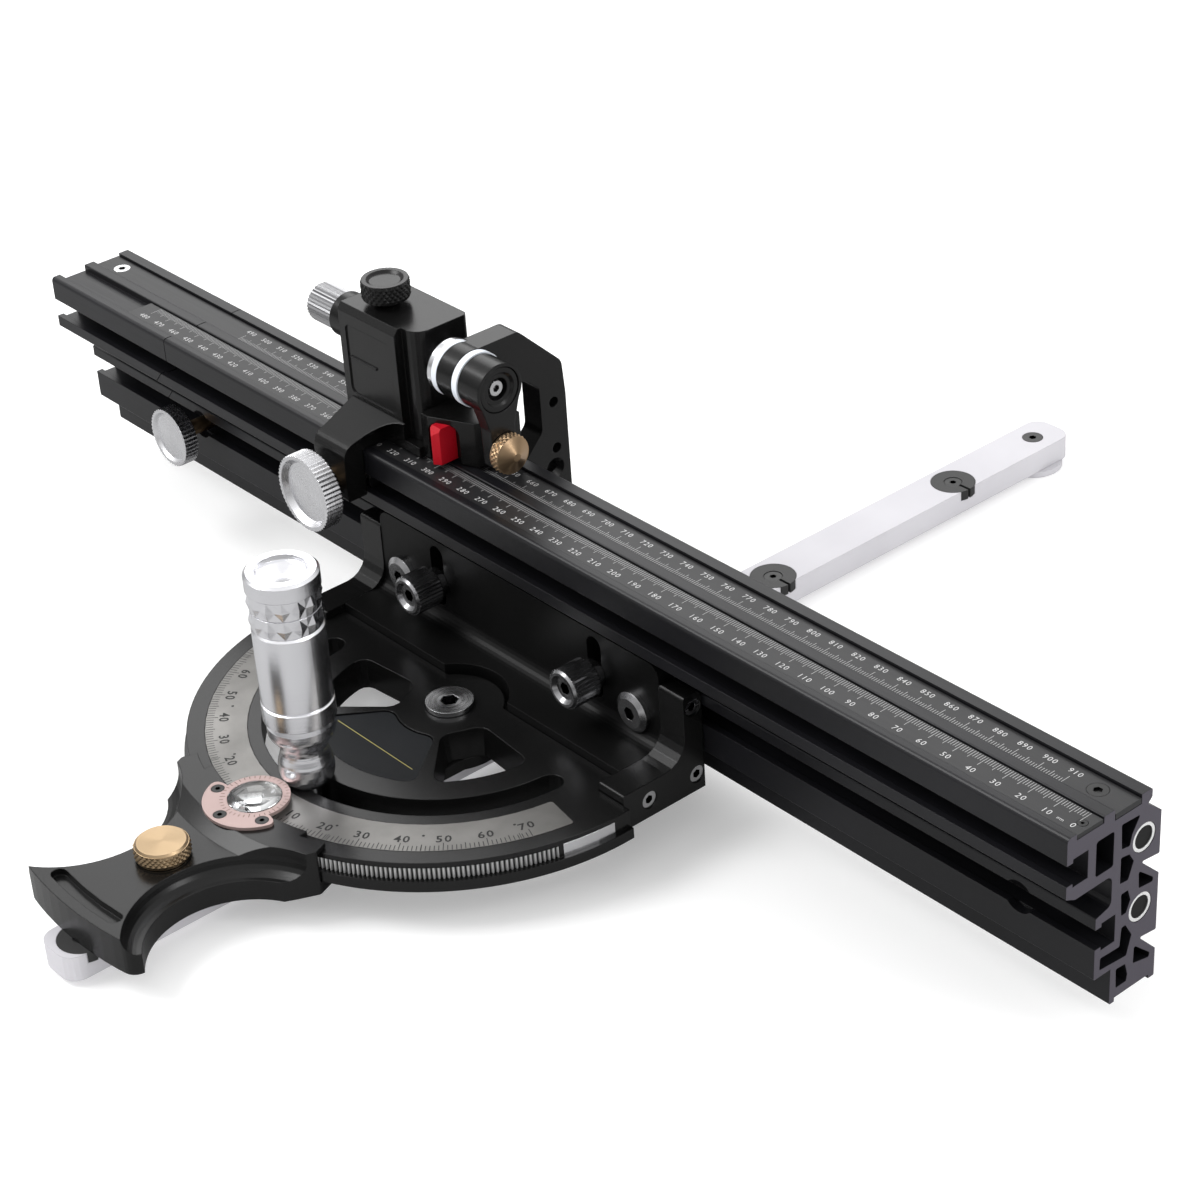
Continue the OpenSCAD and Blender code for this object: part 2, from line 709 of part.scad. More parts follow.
module index_knob() color(brass) translate([0, knob_y, 0]) union() {
    translate([0, 0, arm_h + 0.2]) cylinder(r = knob_r - 1, h = 0.8);
    translate([0, 0, arm_h + 0.9]) diamond_knurl(knob_r, knob_h - 1.5, 30, 5, 0.5);
    translate([0, 0, arm_h + knob_h - 0.7]) cylinder(r1 = knob_r - 0.7, r2 = knob_r - 1.4, h = 0.9);
    translate([0, 0, tongue_top + 4.6]) cylinder(r = stem_r, h = arm_h - tongue_top - 4);
}

module index_pawl() color(steel) translate([0, 0, tongue_top + 0.6]) difference() {
    linear_extrude(6) polygon([[-pawl_x, knob_y - 8], [pawl_x, knob_y - 8], [pawl_x, -rim_r - 7],
        [1.2, -rim_r - 1], [0.5, -rim_r - 0.3], [-0.5, -rim_r - 0.3], [-1.2, -rim_r - 1],
        [-pawl_x, -rim_r - 7]]);
    translate([0, knob_y, 4]) cylinder(r = stem_r + set_gap, h = 3);
    translate([-20, -flange_r - 0.4, -1]) cube([40, 20, flange_top - tongue_top + 0.7]);
}

// Clamp handle, turned in one piece with its grip bands

// Smooth profile between two points, level at both ends.
function blend(a, b) = [for (i = [0:8])
    [a[0] + (b[0] - a[0]) * (1 - cos(22.5 * i)) / 2, a[1] + (b[1] - a[1]) * i / 8]];

module clamp_handle() color(steel) translate([0, -handle_y, roof_z]) difference() {
    union() {
        rotate_extrude() polygon([[0, 0], [foot_r - 1.5, 0], [foot_r - 0.5, 1.6], [foot_r - 0.1, 3.3],
            [foot_r, 5], each blend([foot_r - 0.1, 6.4], [neck_r, 13.4]),
            each blend([neck_r, 13.4], [barrel_r - 0.8, 20.5]), [barrel_r - 0.8, 23.2],
            [barrel_r - 1.6, 25], [barrel_r, 25.6],
            [barrel_r, 32], [barrel_r - 0.6, 32.4], [barrel_r - 0.2, 33], [barrel_r - 0.2, 60.6],
            [barrel_r - 1, 61.5], [barrel_r - 1, 75.4], [barrel_r + 0.2, 75.8],
            [barrel_r + 0.2, handle_h - 1], [barrel_r - 0.8, handle_h], [barrel_r - 3.6, handle_h],
            [barrel_r - 4.2, handle_h - 1.6], [0, handle_h - 3]]);
        translate([0, 0, 61.6]) diamond_knurl(barrel_r + 0.3, 6.7, diamonds, 2, 0.9);
        translate([0, 0, 68.6]) diamond_knurl(barrel_r + 0.3, 6.7, diamonds, 2, 0.9);
    }
    translate([0, 0, -1]) cylinder(r = stud_r + run_gap, h = 21);
}

// Head: protractor plate, bracket and cheeks, turning on the pivot

module protractor_plate() color(black) difference() {
    union() {
        intersection() {
            union() {
                translate([0, 0, head_z]) cylinder(r = rim_r, h = plate_top - head_z, $fn = 240);
                translate([0, 0, head_z]) cylinder(r = flange_r, h = flange_top - head_z, $fn = 240);
            }
            union() {
                box([-flange_r, -flange_r, 0], [flange_r, cheek_front - slide_gap, 30]);
                box([slide_gap - bracket_x, -flange_r, 0], [bracket_x - slide_gap, base_front - 0.2, 30]);
            }
        }
        translate([0, 0, head_z]) cylinder(r = tongue_r, h = plate_top - head_z);
        box([-58, 0, head_z], [58, 28, head_z + 4.2]);
    }
    translate([0, 0, -1]) cylinder(r = pivot_r + run_gap, h = 40);
    translate([0, 0, plate_top - 0.1]) cylinder(r = pivot_head_r + slide_gap, h = 5);
    for (s = [-1, 1]) window(s);
    translate([0, 0, plate_top - 1.6]) linear_extrude(5)
        polygon(sector(tongue_r, window_out + 1, -badge_deg, badge_deg, 4));
    clamp_slot(slot_w, head_z - 1);
    translate([0, 0, plate_top - band_t]) linear_extrude(5)
        polygon(sector(band_in - set_gap, band_out + set_gap, -band_deg - 0.1, band_deg + 0.1, 1));
    translate([0, 0, flange_top]) linear_extrude(teeth_top - flange_top)
        polygon(sector(rim_r - 3, rim_r + 3, -teeth_deg - 0.1, teeth_deg + 0.1, 0.1));
    for (s = [-1, 1]) translate([0, 0, flange_top]) linear_extrude(5)
        polygon(sector(rim_r - 1.2, rim_r + 3, s * 81.3 - 6.3, s * 81.3 + 6.3, 0.1));
    for (p = plate_screw_at) translate([p[0], p[1], head_z]) mirror([0, 0, 1]) flat_sink(4, 2, 20);
}

// Curved slot that the clamp stud runs in.
module clamp_slot(width, z) {
    half = width / 2;
    translate([0, 0, z]) linear_extrude(30)
        polygon(sector(handle_y - half, handle_y + half, -slot_deg - 4, slot_deg + 4, half - 0.05));
}

// Window with walls that taper inwards below.
module window(s) {
    middle = polar((window_in + window_out) / 2, s * (window_deg[0] + window_deg[1]) / 2);
    low = s > 0 ? window_deg[0] : -window_deg[1];
    high = s > 0 ? window_deg[1] : -window_deg[0];
    outline = [for (p = sector(window_in + 2, window_out - 1.5, low + 3, high - 3, 4)) p - middle];
    translate([middle[0], middle[1], head_z - 0.1])
        linear_extrude(plate_top - head_z + 0.2, scale = 1.14) polygon(outline);
}

module scale_band() color([0.62, 0.61, 0.58])
    translate([0, 0, plate_top - band_t]) linear_extrude(band_t + 0.05)
        polygon(sector(band_in, band_out, -band_deg, band_deg, 1));

module badge_plate() color([0.12, 0.13, 0.14])
    translate([0, 0, plate_top - 1.6]) linear_extrude(1)
        polygon(sector(tongue_r + 0.3, window_out + 0.7, 0.4 - badge_deg, badge_deg - 0.4, 4));

// Steel ring with a tooth at every degree.
module index_ring() color(steel)
    translate([0, 0, flange_top]) linear_extrude(teeth_top - flange_top) polygon(concat(
        [for (i = [0:4 * teeth_deg]) polar(rim_r - (i % 2) * tooth_depth, i / 2 - teeth_deg)],
        [for (i = [0:30]) polar(rim_r - 2.9, teeth_deg * (1 - i / 15))]
    ));

module rim_patches() color(steel) for (s = [-1, 1]) translate([0, 0, flange_top]) linear_extrude(4.9)
    polygon(sector(rim_r - 1.1, rim_r + 0.1, s * 81.3 - 6.2, s * 81.3 + 6.2, 0.1));

module head_bracket() color(black) difference() {
    union() {
        box([-bracket_x, base_front, head_z], [bracket_x, wall_back, base_top]);
        along_y(wall_front, wall_back) polygon(rounded([[-bracket_x, head_z, 0], [bracket_x, head_z, 0],
            [bracket_x, wall_top, 5], [-bracket_x, wall_top, 5]]));
        along_x(-bracket_x, bracket_x) polygon(concat([[wall_front + 1, base_top - 1]],
            [for (t = [0:15:90]) [wall_front - 5 + 5 * sin(t), base_top + 5 - 5 * cos(t)]]));
    }
    translate([0, 0, 0]) cylinder(r = tongue_r + 2, h = 40);
    box([-58.3, base_front - 1, head_z - 1], [58.3, 28.3, head_z + 4.2]);
    for (s = [-1, 1]) {
        along_y(wall_front - 6, wall_back + 1)
            polygon(rounded_box([s * thumb_x - 3.6, base_top + 5.2], [s * thumb_x + 3.6, wall_top - 2.5],
                3.5));
        facing_y(s * button_x, wall_front, 27.5) cylinder(r = 3 + set_gap, h = 7.2);
        facing_y(s * button_x, wall_front - 6, 27.5) cylinder(r = button_r + set_gap, h = 6);
        for (p = cheek_screw_at)
            facing_x(s * bracket_x - 10.2, p[0], p[1]) cylinder(r = 1.5 + set_gap, h = 20.4);
    }
    for (p = plate_screw_at) translate([p[0], p[1], 0]) cylinder(r = 2 + set_gap, h = head_z + 9.2);
}

module plate_screws() color(steel)
    for (p = plate_screw_at) translate([p[0], p[1], head_z]) mirror([0, 0, 1]) flat_screw(4, 2, 9, 1.5);

module end_cheeks() color(black) for (s = [-1, 1]) difference() {
    along_x(s > 0 ? bracket_x : -cheek_x, s > 0 ? cheek_x : -bracket_x)
        polygon(rounded([[cheek_front, head_z, 0.8], [cheek_front, base_top, 0.8],
            [wall_front - 0.3, base_top, 9], [wall_front - 0.3, cheek_top, 1.5],
            [wall_back - 0.3, cheek_top, 2.5], [wall_back - 0.3, head_z, 0]]));
    for (p = cheek_screw_at) {
        facing_x(s * (bracket_x + 5), p[0], p[1]) translate([0, 0, -6]) cylinder(r = 1.5 + set_gap, h = 12);
        facing_x(s * (cheek_x - 1), p[0], p[1]) translate([0, 0, -2.5]) cylinder(r = 3.15 + set_gap, h = 5);
    }
}

module cheek_screws() color(steel) for (s = [-1, 1], p = cheek_screw_at)
    facing_x(s * (cheek_x - 0.5), p[0], p[1]) rotate([s > 0 ? 0 : 180, 0, 0])
        socket_screw(3.15, 3, 1.5, 20, 1.6);

module bracket_screws() color([0.12, 0.12, 0.13])
    for (s = [-1, 1]) facing_y(s * button_x, wall_front, 27.5) difference() {
        union() {
            cylinder(r = 3, h = 7);
            translate([0, 0, -3.2]) cylinder(r1 = button_r - 2, r2 = button_r, h = 1.2);
            translate([0, 0, -2]) cylinder(r = button_r, h = 2);
        }
        translate([0, 0, -4]) cylinder(r = 2.6, h = 2.6, $fn = 6);
    }

// Nuts that hold the fence to the bracket.
module t_nuts() color(steel) for (s = [-1, 1]) difference() {
    union() {
        box([s * thumb_x - 9, ledge_front + t_lip + slide_gap + 0.1, slot2_z - t_wide / 2 + 0.4],
            [s * thumb_x + 9, ledge_front + t_lip + t_deep - 0.4, slot2_z + t_wide / 2 - 0.4]);
        box([s * thumb_x - 9, wall_back, slot2_z - t_open / 2 + 0.4],
            [s * thumb_x + 9, ledge_front + t_lip + slide_gap + 0.2, slot2_z + t_open / 2 - 0.4]);
    }
    facing_y(s * thumb_x, wall_back - 1, slot2_z) cylinder(r = bolt_r + run_gap, h = 20);
}

module thumb_screw(s) facing_y(s * thumb_x, thumb_front, slot2_z) difference() {
    union() {
        translate([0, 0, 0.8]) straight_knurl(thumb_r, 10.4, 32, 0.45);
        cylinder(r1 = thumb_r - 1.2, r2 = thumb_r - 0.4, h = 0.81);
        translate([0, 0, 11.19]) cylinder(r1 = thumb_r - 0.4, r2 = thumb_r - 1.2, h = 0.81);
        translate([0, 0, 11.5]) cylinder(r = thumb_r - 2, h = wall_front - thumb_front - 11.6);
        cylinder(r = bolt_r, h = ledge_front + t_lip + t_deep - 0.6 - thumb_front);
    }
    translate([0, 0, -1]) cylinder(r1 = thumb_r - 1.2, r2 = thumb_r - 3.4, h = 2.4);
    cylinder(r = 2.5, h = 5, $fn = 6);
}

module thumb_screw_left() color(steel) thumb_screw(-1);

module thumb_screw_right() color(steel) thumb_screw(1);

// Fence

// Outline of the fence's section in (y, z); the floor of the core slot is given.
function fence_outline(core_floor, strip_floor) = rounded([
    [lip_front, slot1_z + t_open / 2, 0], [lip_front, lip_top, 1.5], [lip_front + 3.9, lip_top, 0],
    [lip_front + 3.9, strip_floor, 0], [strip_back, strip_floor, 0], [strip_back, rail_top, 0.5],
    [core_front, rail_top, 0.5], [core_front, core_floor, 0], [core_back, core_floor, 0],
    [core_back, rail_top - 0.6, 0], [63, rail_top - 0.6, 0.5],
    [63, 73.4, 0], [61.1, 71.6, 0.5], [back_face, 66.4, 0.5], [back_face, 50.6, 0.5], [59.1, 51.6, 0.4],
    [back_face, 43.4, 0.5], [back_face, 22.1, 0.5], [59.8, 23, 0.4], [back_face, 14.9, 0.5],
    [back_face, head_z, 0.5], [64.9, head_z, 0], [64.9, head_z + 1.5, 0], [49.3, head_z + 1.5, 0],
    [49.3, head_z, 0], [47.1, head_z, 0.5], [47.1, base_top - 0.1, 0], [ledge_front, base_top - 0.1, 0.4],
    [ledge_front, slot2_z - t_open / 2, 0], [ledge_front + t_lip, slot2_z - t_open / 2, 0],
    [ledge_front + t_lip, slot2_z - t_wide / 2, 0], [ledge_front + t_lip + t_deep, slot2_z - t_wide / 2, 0],
    [ledge_front + t_lip + t_deep, slot2_z + t_wide / 2, 0], [ledge_front + t_lip, slot2_z + t_wide / 2, 0],
    [ledge_front + t_lip, slot2_z + t_open / 2, 0], [ledge_front, slot2_z + t_open / 2, 0],
    [ledge_front, 41, 0.5], [channel_back, 42.5, 2.5], [channel_back, 53.6, 2.5], [lip_front + 4, 53.5, 0],
    [lip_front, 55.4, 0.5], [lip_front, slot1_z - t_open / 2, 0],
    [lip_front + t_lip, slot1_z - t_open / 2, 0],
    [lip_front + t_lip, slot1_z - t_wide / 2, 0], [lip_front + t_lip + t_deep + 0.4, slot1_z - t_wide / 2, 0],
    [lip_front + t_lip + t_deep + 0.4, slot1_z + t_wide / 2, 0], [lip_front + t_lip, slot1_z + t_wide / 2, 0],
    [lip_front + t_lip, slot1_z + t_open / 2, 0]], 4);

module hollow(points) polygon(rounded([for (p = points) [p[0], p[1], 0.5]], 2));

// Hollows that run the length of both rails.
module fence_hollows() {
    polygon(rounded_box([38.7, 56.8], [channel_back + 0.2, 69.5], 1));
    hollow([[49.7, 70], [58, 69.5], [54.6, 64.1], [53.7, 60.3], [50.1, 61]]);
    hollow([[49.9, 58], [53.7, 57.3], [55.8, 53.8], [53.5, 48], [49.9, 48.4]]);
    hollow([[50.6, 44.2], [53.7, 44.2], [55, 40], [53.2, 36], [51, 36]]);
    hollow([[42.2, 25], [50.8, 24.6], [51.4, 31.5], [53.2, 31.4], [56.2, 26.3], [54.1, 19.4], [42, 20.6]]);
    hollow([[49.6, 16.7], [53.8, 16.4], [55, 12], [54.6, 9.4], [49.8, 9.4]]);
    hollow([[58.2, 48.8], [65, 43], [65, 41.4], [58.6, 42.2]]);
    hollow([[57.6, 21.2], [65, 14.6], [64.8, 12.9], [57.4, 14.6]]);
}

// Everything left of the seam, moved sideways by shift.
module left_of_seam(shift) along_y(0, 100) polygon([[seam_x + shift, 120], [seam_x + shift, seam_z],
    [seam_x + shift - seam_slope * seam_z, 0], [-400, 0], [-400, 120]]);

module rod_bores(r) for (p = rod_at) facing_x(-320, p[0], p[1]) cylinder(r = r, h = 700);

module fence_rail() color(dark) difference() {
    along_x(seam_x - seam_slope * seam_z, fence_right) difference() {
        polygon(fence_outline(core_seat, strip_seat));
        fence_hollows();
    }
    left_of_seam(seam_gap / 2);
    rod_bores(rod_r + 0.1);
    for (x = notch_x) facing_y(x, ledge_front - 2, slot2_z) cylinder(r = notch_r, h = t_lip + 3);
    facing_y(lock_x, 40, slot2_z) cylinder(r = bolt_r + run_gap, h = 15.5);
    translate([scale_screw_x, 36, strip_seat - 3.2]) cylinder(r = 1.1, h = 5);
}

module front_scale() color([0.2, 0.19, 0.22]) difference() {
    box([strip_left, lip_front + 4.2, strip_seat],
        [fence_right - 0.15, strip_back - slide_gap, strip_seat + strip_t]);
    translate([scale_screw_x, 36, strip_seat + strip_t]) flat_sink(1.7, 1, 3);
}

module scale_screw() color([0.1, 0.1, 0.1])
    translate([scale_screw_x, 36, strip_seat + strip_t]) flat_screw(1.7, 1, 4.4, 0.6);

module lock_knob() color(steel) facing_y(lock_x, lock_front, slot2_z) difference() {
    union() {
        straight_knurl(lock_r, lock_t, 44, 0.5);
        translate([0, 0, lock_t - 0.1]) cylinder(r = 6, h = 2.6);
    }
    translate([0, 0, -0.1]) cylinder(r1 = lock_r - 1.4, r2 = lock_r - 2.6, h = 1.3);
    translate([0, 0, 3]) cylinder(r = bolt_r + set_gap, h = 20);
}

module lock_bolt() color(brass) facing_y(lock_x, lock_front + 3.1, slot2_z)
    cylinder(r = bolt_r, h = rod_at[1][0] - rod_r - 0.2 - lock_front - 3.1);

// Extension

module extension_rail() color(dark) difference() {
    intersection() {
        along_x(fence_left, seam_x + 5) difference() {
            polygon(fence_outline(core_seat + slide_gap, strip_seat - slide_gap));
            fence_hollows();
        }
        left_of_seam(-seam_gap / 2);
    }
    rod_bores(rod_r + 0.02);
    translate([core_screw_x[0], core_y, 68]) cylinder(r = 2 + set_gap, h = 8);
}

module core_bar() color([0.3, 0.29, 0.33]) difference() {
    box([fence_left, core_front + slide_gap, core_seat + slide_gap],
        [fence_right, core_back - slide_gap, core_seat + slide_gap + core_t]);
    for (x = core_screw_x) translate([x, core_y, 60]) cylinder(r = 2 + set_gap, h = 30);
    for (x = core_screw_x) translate([x, core_y, core_seat + core_t - 1]) cylinder(r = 3.4 + set_gap, h = 5);
}

module core_screws() color(steel) translate([core_screw_x[0], core_y, core_seat + slide_gap + core_t])
    socket_screw(3.4, 1.2, 2, 6.5, 1.5);

module core_end_screw() color([0.1, 0.1, 0.1])
    translate([core_screw_x[1], core_y, core_seat + slide_gap + core_t]) socket_screw(3.4, 1.2, 2, core_t, 1.5);

module guide_rods() color(steel) for (p = rod_at) facing_x(fence_left + 0.2, p[0], p[1]) difference() {
    cylinder(r = rod_r, h = fence_right - fence_left - 0.4);
    translate([0, 0, -1]) cylinder(r = rod_bore, h = fence_right - fence_left + 2);
}

module rod_plugs() color([0.2, 0.2, 0.2]) for (p = rod_at, x = [fence_left + 0.6, fence_right - 6.6])
    facing_x(x, p[0], p[1]) cylinder(r = rod_bore, h = 6);

// Stop carriage

// Outline of the saddle's hook over the front lip, in (y, z).
function hook_outline() = rounded([[skirt_front, skirt_bottom, 0.8], [skirt_front, rail_top + 3, 6],
    [skirt_front + 6, tower_bottom + 1.2, 3], [tower_front, tower_bottom + 7.5, 0],
    [tower_front, rail_top + slide_gap, 0], [lip_front - slide_gap, rail_top + slide_gap, 1],
    [lip_front - slide_gap, skirt_bottom, 0.8]]);

module stop_saddle() color(black) difference() {
    foot = rail_top + slide_gap;
    union() {
        along_x(skirt_left, skirt_right + sweep_x) polygon(hook_outline());
        box([tower_left, tower_front, foot], [tower_right, tower_back, tower_bottom]);
        // base block, with its front drawn back towards the right
        translate([0, 0, foot]) linear_extrude(block_top - foot)
            polygon(rounded([[tower_right, tower_front + 2, 0], [pointer_x - 3, tower_front + 2, 0],
                [base_right - 4, block_front, 2], [base_right, block_front + 5, 2],
                [base_right, tower_back, 0], [tower_right, tower_back, 0]]));
    }
    // sweep of the skirt's right edge up to the tower
    along_y(0, tower_front) polygon(concat([[skirt_right, skirt_bottom - 1]],
        [for (t = [0:10:90]) [skirt_right + sweep_x * (1 - cos(t)), tower_bottom - 2 + 9 * sin(t)]],
        [[tower_right, tower_bottom + 7], [tower_right, skirt_bottom - 1]]));
    // arched recess behind the pointer
    along_y(tower_front, tower_front + 8)
        polygon(rounded([[pointer_x - 3.2, 70, 0], [pointer_x + pointer_w + 3, 70, 0],
            [pointer_x + pointer_w + 3, block_top - 2, 4], [pointer_x - 3.2, block_top - 2, 4]]));
    facing_y(stop_x, skirt_front - 1, slot1_z) cylinder(r = bolt_r + run_gap, h = lip_front - skirt_front + 2);
}

module stop_tower() color(black) difference() {
    union() {
        translate([0, 0, tower_bottom]) linear_extrude(tower_top - tower_bottom)
            polygon(rounded([[tower_left, tower_face, 0], [tower_right, tower_face, 6],
                [tower_right, tower_back, 2], [tower_left, tower_back, 2]]));
        // raised front panel with a chamfered top
        along_x(tower_left, panel_right) polygon([[tower_front, tower_bottom], [tower_front, tower_top - 2.5],
            [tower_face - 1.7, tower_top], [tower_face + 1, tower_top], [tower_face + 1, tower_bottom]]);
        facing_x(micro_right + slide_gap, shaft_y, shaft_z)
            cylinder(r = boss_r, h = tower_left - micro_right - slide_gap + 1);
    }
    facing_x(micro_right - 1, shaft_y, shaft_z) cylinder(r = shaft_r + run_gap, h = 60);
    translate([top_x, shaft_y, shaft_z]) cylinder(r = 3 + run_gap, h = 20);
    facing_y(tower_left - 5, shaft_y - boss_r - 1, shaft_z + 2) cylinder(r = 1.3, h = 2.5, $fn = 6);
    // sunk field of the panel with one raised line
    along_y(tower_front - 1, tower_front + 0.5) difference() {
        polygon(rounded_box([tower_left + 3.5, 90], [panel_right - 3, 117.5], 2.5));
        translate([tower_left + 5, 104.2]) square([15, 0.8]);
    }
}

// Pointer with a blunt ridge down its front and a sloping top.
module pointer() color([0.8, 0.12, 0.15]) intersection() {
    translate([0, 0, 78.4]) linear_extrude(15.5) polygon([[pointer_x, tower_front + 8],
        [pointer_x, tower_front + 0.7], [pointer_x + 0.45 * pointer_w, tower_front - 1],
        [pointer_x + pointer_w, tower_front + 0.7], [pointer_x + pointer_w, tower_front + 8]]);
    along_x(pointer_x - 1, pointer_x + pointer_w + 1) polygon([[tower_front + 8, 70], [tower_front - 2, 70],
        [tower_front - 2, 88.5], [tower_front + 1.5, block_top - 2], [tower_front + 8, block_top - 2]]);
}

module stop_nut() color(steel) difference() {
    box([stop_x - 8, lip_front + t_lip + slide_gap, slot1_z - t_wide / 2 + 0.4],
        [stop_x + 8, lip_front + t_lip + t_deep, slot1_z + t_wide / 2 - 0.4]);
    facing_y(stop_x, lip_front, slot1_z) cylinder(r = bolt_r + run_gap, h = 20);
}

module stop_knob() color(steel) facing_y(stop_x, stop_front, slot1_z) difference() {
    union() {
        straight_knurl(stop_r, stop_t - 1, 54, 0.5);
        translate([0, 0, stop_t - 1.01]) cylinder(r1 = stop_r - 0.5, r2 = stop_r - 1.5, h = 1.01);
    }
    translate([0, 0, -0.1]) cylinder(r1 = stop_r - 1.6, r2 = stop_r - 3.4, h = 2.2);
    translate([0, 0, 4]) cylinder(r = bolt_r + set_gap, h = 20);
}

module stop_bolt() color(brass) facing_y(stop_x, stop_front + 4.1, slot1_z) union() {
    cylinder(r = bolt_r, h = lip_front + t_lip + t_deep - 0.4 - stop_front - 4.1);
    translate([0, 0, stop_t - 4.1]) cylinder(r = bolt_r + 2, h = skirt_front - slide_gap - stop_front - stop_t);
}

module top_knob() color(black) translate([top_x, shaft_y, tower_top]) difference() {
    union() {
        translate([0, 0, shaft_z + shaft_r + 0.2 - tower_top]) cylinder(r = 3, h = 10);
        translate([0, 0, 0.3]) cylinder(r = 4.5, h = 2.6);
        translate([0, 0, 2.5]) diamond_knurl(top_r, 7, 26, 6, 0.5);
    }
    translate([0, 0, 8.6]) cylinder(r1 = top_r - 3.4, r2 = top_r - 1.4, h = 1.5);
}

// Fine adjustment and flip arms on the shaft; the knob turns in place and draws the shaft through it

module micro_knob() color(steel) difference() {
    facing_x(micro_left, shaft_y, shaft_z) union() {
        translate([0, 0, 0.8]) straight_knurl(micro_r, micro_right - micro_left - 1.6, 34, 0.4);
        cylinder(r1 = micro_r - 1.2, r2 = micro_r - 0.4, h = 0.81);
        translate([0, 0, micro_right - micro_left - 0.81])
            cylinder(r1 = micro_r - 0.4, r2 = micro_r - 1.2, h = 0.81);
    }
    facing_x(micro_left + 1.5, shaft_y, shaft_z) cylinder(r = shaft_r + run_gap, h = 30);
}

module micro_shaft() color(steel) difference() {
    facing_x(micro_left + 1.8 + micro_travel, shaft_y, shaft_z)
        cylinder(r = shaft_r, h = cap_left - micro_left - 1.8 - micro_travel);
    facing_x(cap_left - 9, shaft_y, shaft_z) cylinder(r = 1.5 + set_gap, h = 20);
}

// Ring or washer on the shaft between two places.
module shaft_ring(from, to) facing_x(from, shaft_y, shaft_z) difference() {
    cylinder(r = washer_r, h = to - from);
    translate([0, 0, -1]) cylinder(r = shaft_r, h = 10);
}

module thrust_ring() color(steel)
    shaft_ring(rear_left - slide_gap - washer_t - ring_t, rear_left - slide_gap - washer_t);

module shaft_washers() color([0.93, 0.94, 0.95]) {
    shaft_ring(rear_left - slide_gap - washer_t, rear_left - slide_gap);
    shaft_ring(rear_right + slide_gap, rear_right + slide_gap + washer_t);
}

module end_cap() color([0.1, 0.1, 0.11]) facing_x(cap_left, shaft_y, shaft_z) difference() {
    cylinder(r = front_hub_r - 1.5, h = cap_t);
    translate([0, 0, 1]) cylinder(r = 4.2, h = cap_t);
    translate([0, 0, cap_t - 0.8]) cylinder(r1 = 5.6, r2 = 6.6, h = 0.9);
    translate([0, 0, -1]) cylinder(r = 1.5 + set_gap, h = 10);
}

module end_screw() color(steel)
    facing_x(cap_left + 2.8, shaft_y, shaft_z) socket_screw(2.8, 1.8, 1.5, 11, 1.4);

module rear_arm() color(black) difference() {
    face = rear_right - slide_gap;
    union() {
        facing_x(rear_left, shaft_y, shaft_z) cylinder(r = rear_hub_r, h = rear_right - rear_left);
        along_x(plate_left, face) polygon(rounded([
            [shaft_y - 4, shaft_z + 3, 0], [shaft_y + 2, shaft_z + 9.7, 0],
            [rear_back - 19.3, shaft_z + 9.6, 4], [rear_back - 0.9, 102.9, 5], [rear_back, 90, 0],
            [rear_back, rear_bottom, 3],
            [back_face + 1.5, rear_bottom, 3], [back_face + 1.5, 69.5, 4], [window_back, 78, 4],
            [window_back, 96, 3], [window_back - 6, 101, 3], [shaft_y + 10, 101.4, 3],
            [shaft_y + 3, shaft_z - 9, 0], [shaft_y - 4, shaft_z - 4, 0]]));
    }
    // room for the washer and the ring beside the hub
    facing_x(plate_left - 1, shaft_y, shaft_z)
        cylinder(r = washer_r + slide_gap + 0.1, h = rear_left - plate_left + 1);
    facing_x(plate_left - 1, shaft_y, shaft_z) cylinder(r = shaft_r + run_gap, h = 20);
    for (z = [88, 69.4]) facing_x(plate_left - 1, rear_back - 5.8, z) cylinder(r = 2, h = 20);
    facing_x(face, rear_back - 7.1, 61.5) flat_sink(4, 2, 14);
}

module front_arm() color(black) difference() {
    left = rear_right + 2 * slide_gap + washer_t;
    union() {
        facing_x(left, shaft_y, shaft_z) cylinder(r = front_hub_r, h = front_right - left);
        along_x(front_right - leg_t, front_right) polygon(rounded([
            [shaft_y - front_hub_r, shaft_z, 0], [shaft_y - 5.4, 97, 4], [shaft_y - 5, leg_bottom, 2.5],
            [shaft_y + 5, leg_bottom, 2.5], [shaft_y + 5.4, 97, 4], [shaft_y + front_hub_r, shaft_z, 0]]));
    }
    facing_x(rear_right, shaft_y, shaft_z) cylinder(r = shaft_r + run_gap, h = 30);
    facing_x(cap_left - slide_gap, shaft_y, shaft_z) cylinder(r = front_hub_r - 1.2, h = 10);
    facing_x(front_right - leg_t - 1, shaft_y, leg_screw_z) cylinder(r = 2.5 + run_gap, h = 10);
}

module arm_thumbscrew() color(brass) facing_x(front_right - leg_t, shaft_y, leg_screw_z) union() {
    cylinder(r = 2.5, h = leg_t + 1);
    translate([0, 0, leg_t + 0.3]) diamond_knurl(leg_screw_r, 4.2, 26, 4, 0.45);
    translate([0, 0, leg_t + 4.49]) cylinder(r1 = leg_screw_r - 0.7, r2 = 1.5, h = 2.4);
}

mitre_bar();
expansion_discs();
disc_screws();
bar_end_screw();
retaining_disc();
index_arm();
arm_screws();
pivot_screw();
eyepiece_plate();
eyepiece_screws();
lens();
clamp_stud();
index_knob();
index_pawl();
clamp_handle();
protractor_plate();
scale_band();
badge_plate();
index_ring();
rim_patches();
head_bracket();
plate_screws();
end_cheeks();
cheek_screws();
bracket_screws();
t_nuts();
thumb_screw_left();
thumb_screw_right();
fence_rail();
front_scale();
scale_screw();
lock_knob();
lock_bolt();
extension_rail();
core_bar();
core_screws();
core_end_screw();
guide_rods();
rod_plugs();
stop_saddle();
stop_tower();
pointer();
stop_nut();
stop_knob();
stop_bolt();
top_knob();
micro_knob();
micro_shaft();
thrust_ring();
shaft_washers();
end_cap();
end_screw();
rear_arm();
front_arm();
arm_thumbscrew();
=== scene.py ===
import math

import bpy
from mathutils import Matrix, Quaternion, Vector


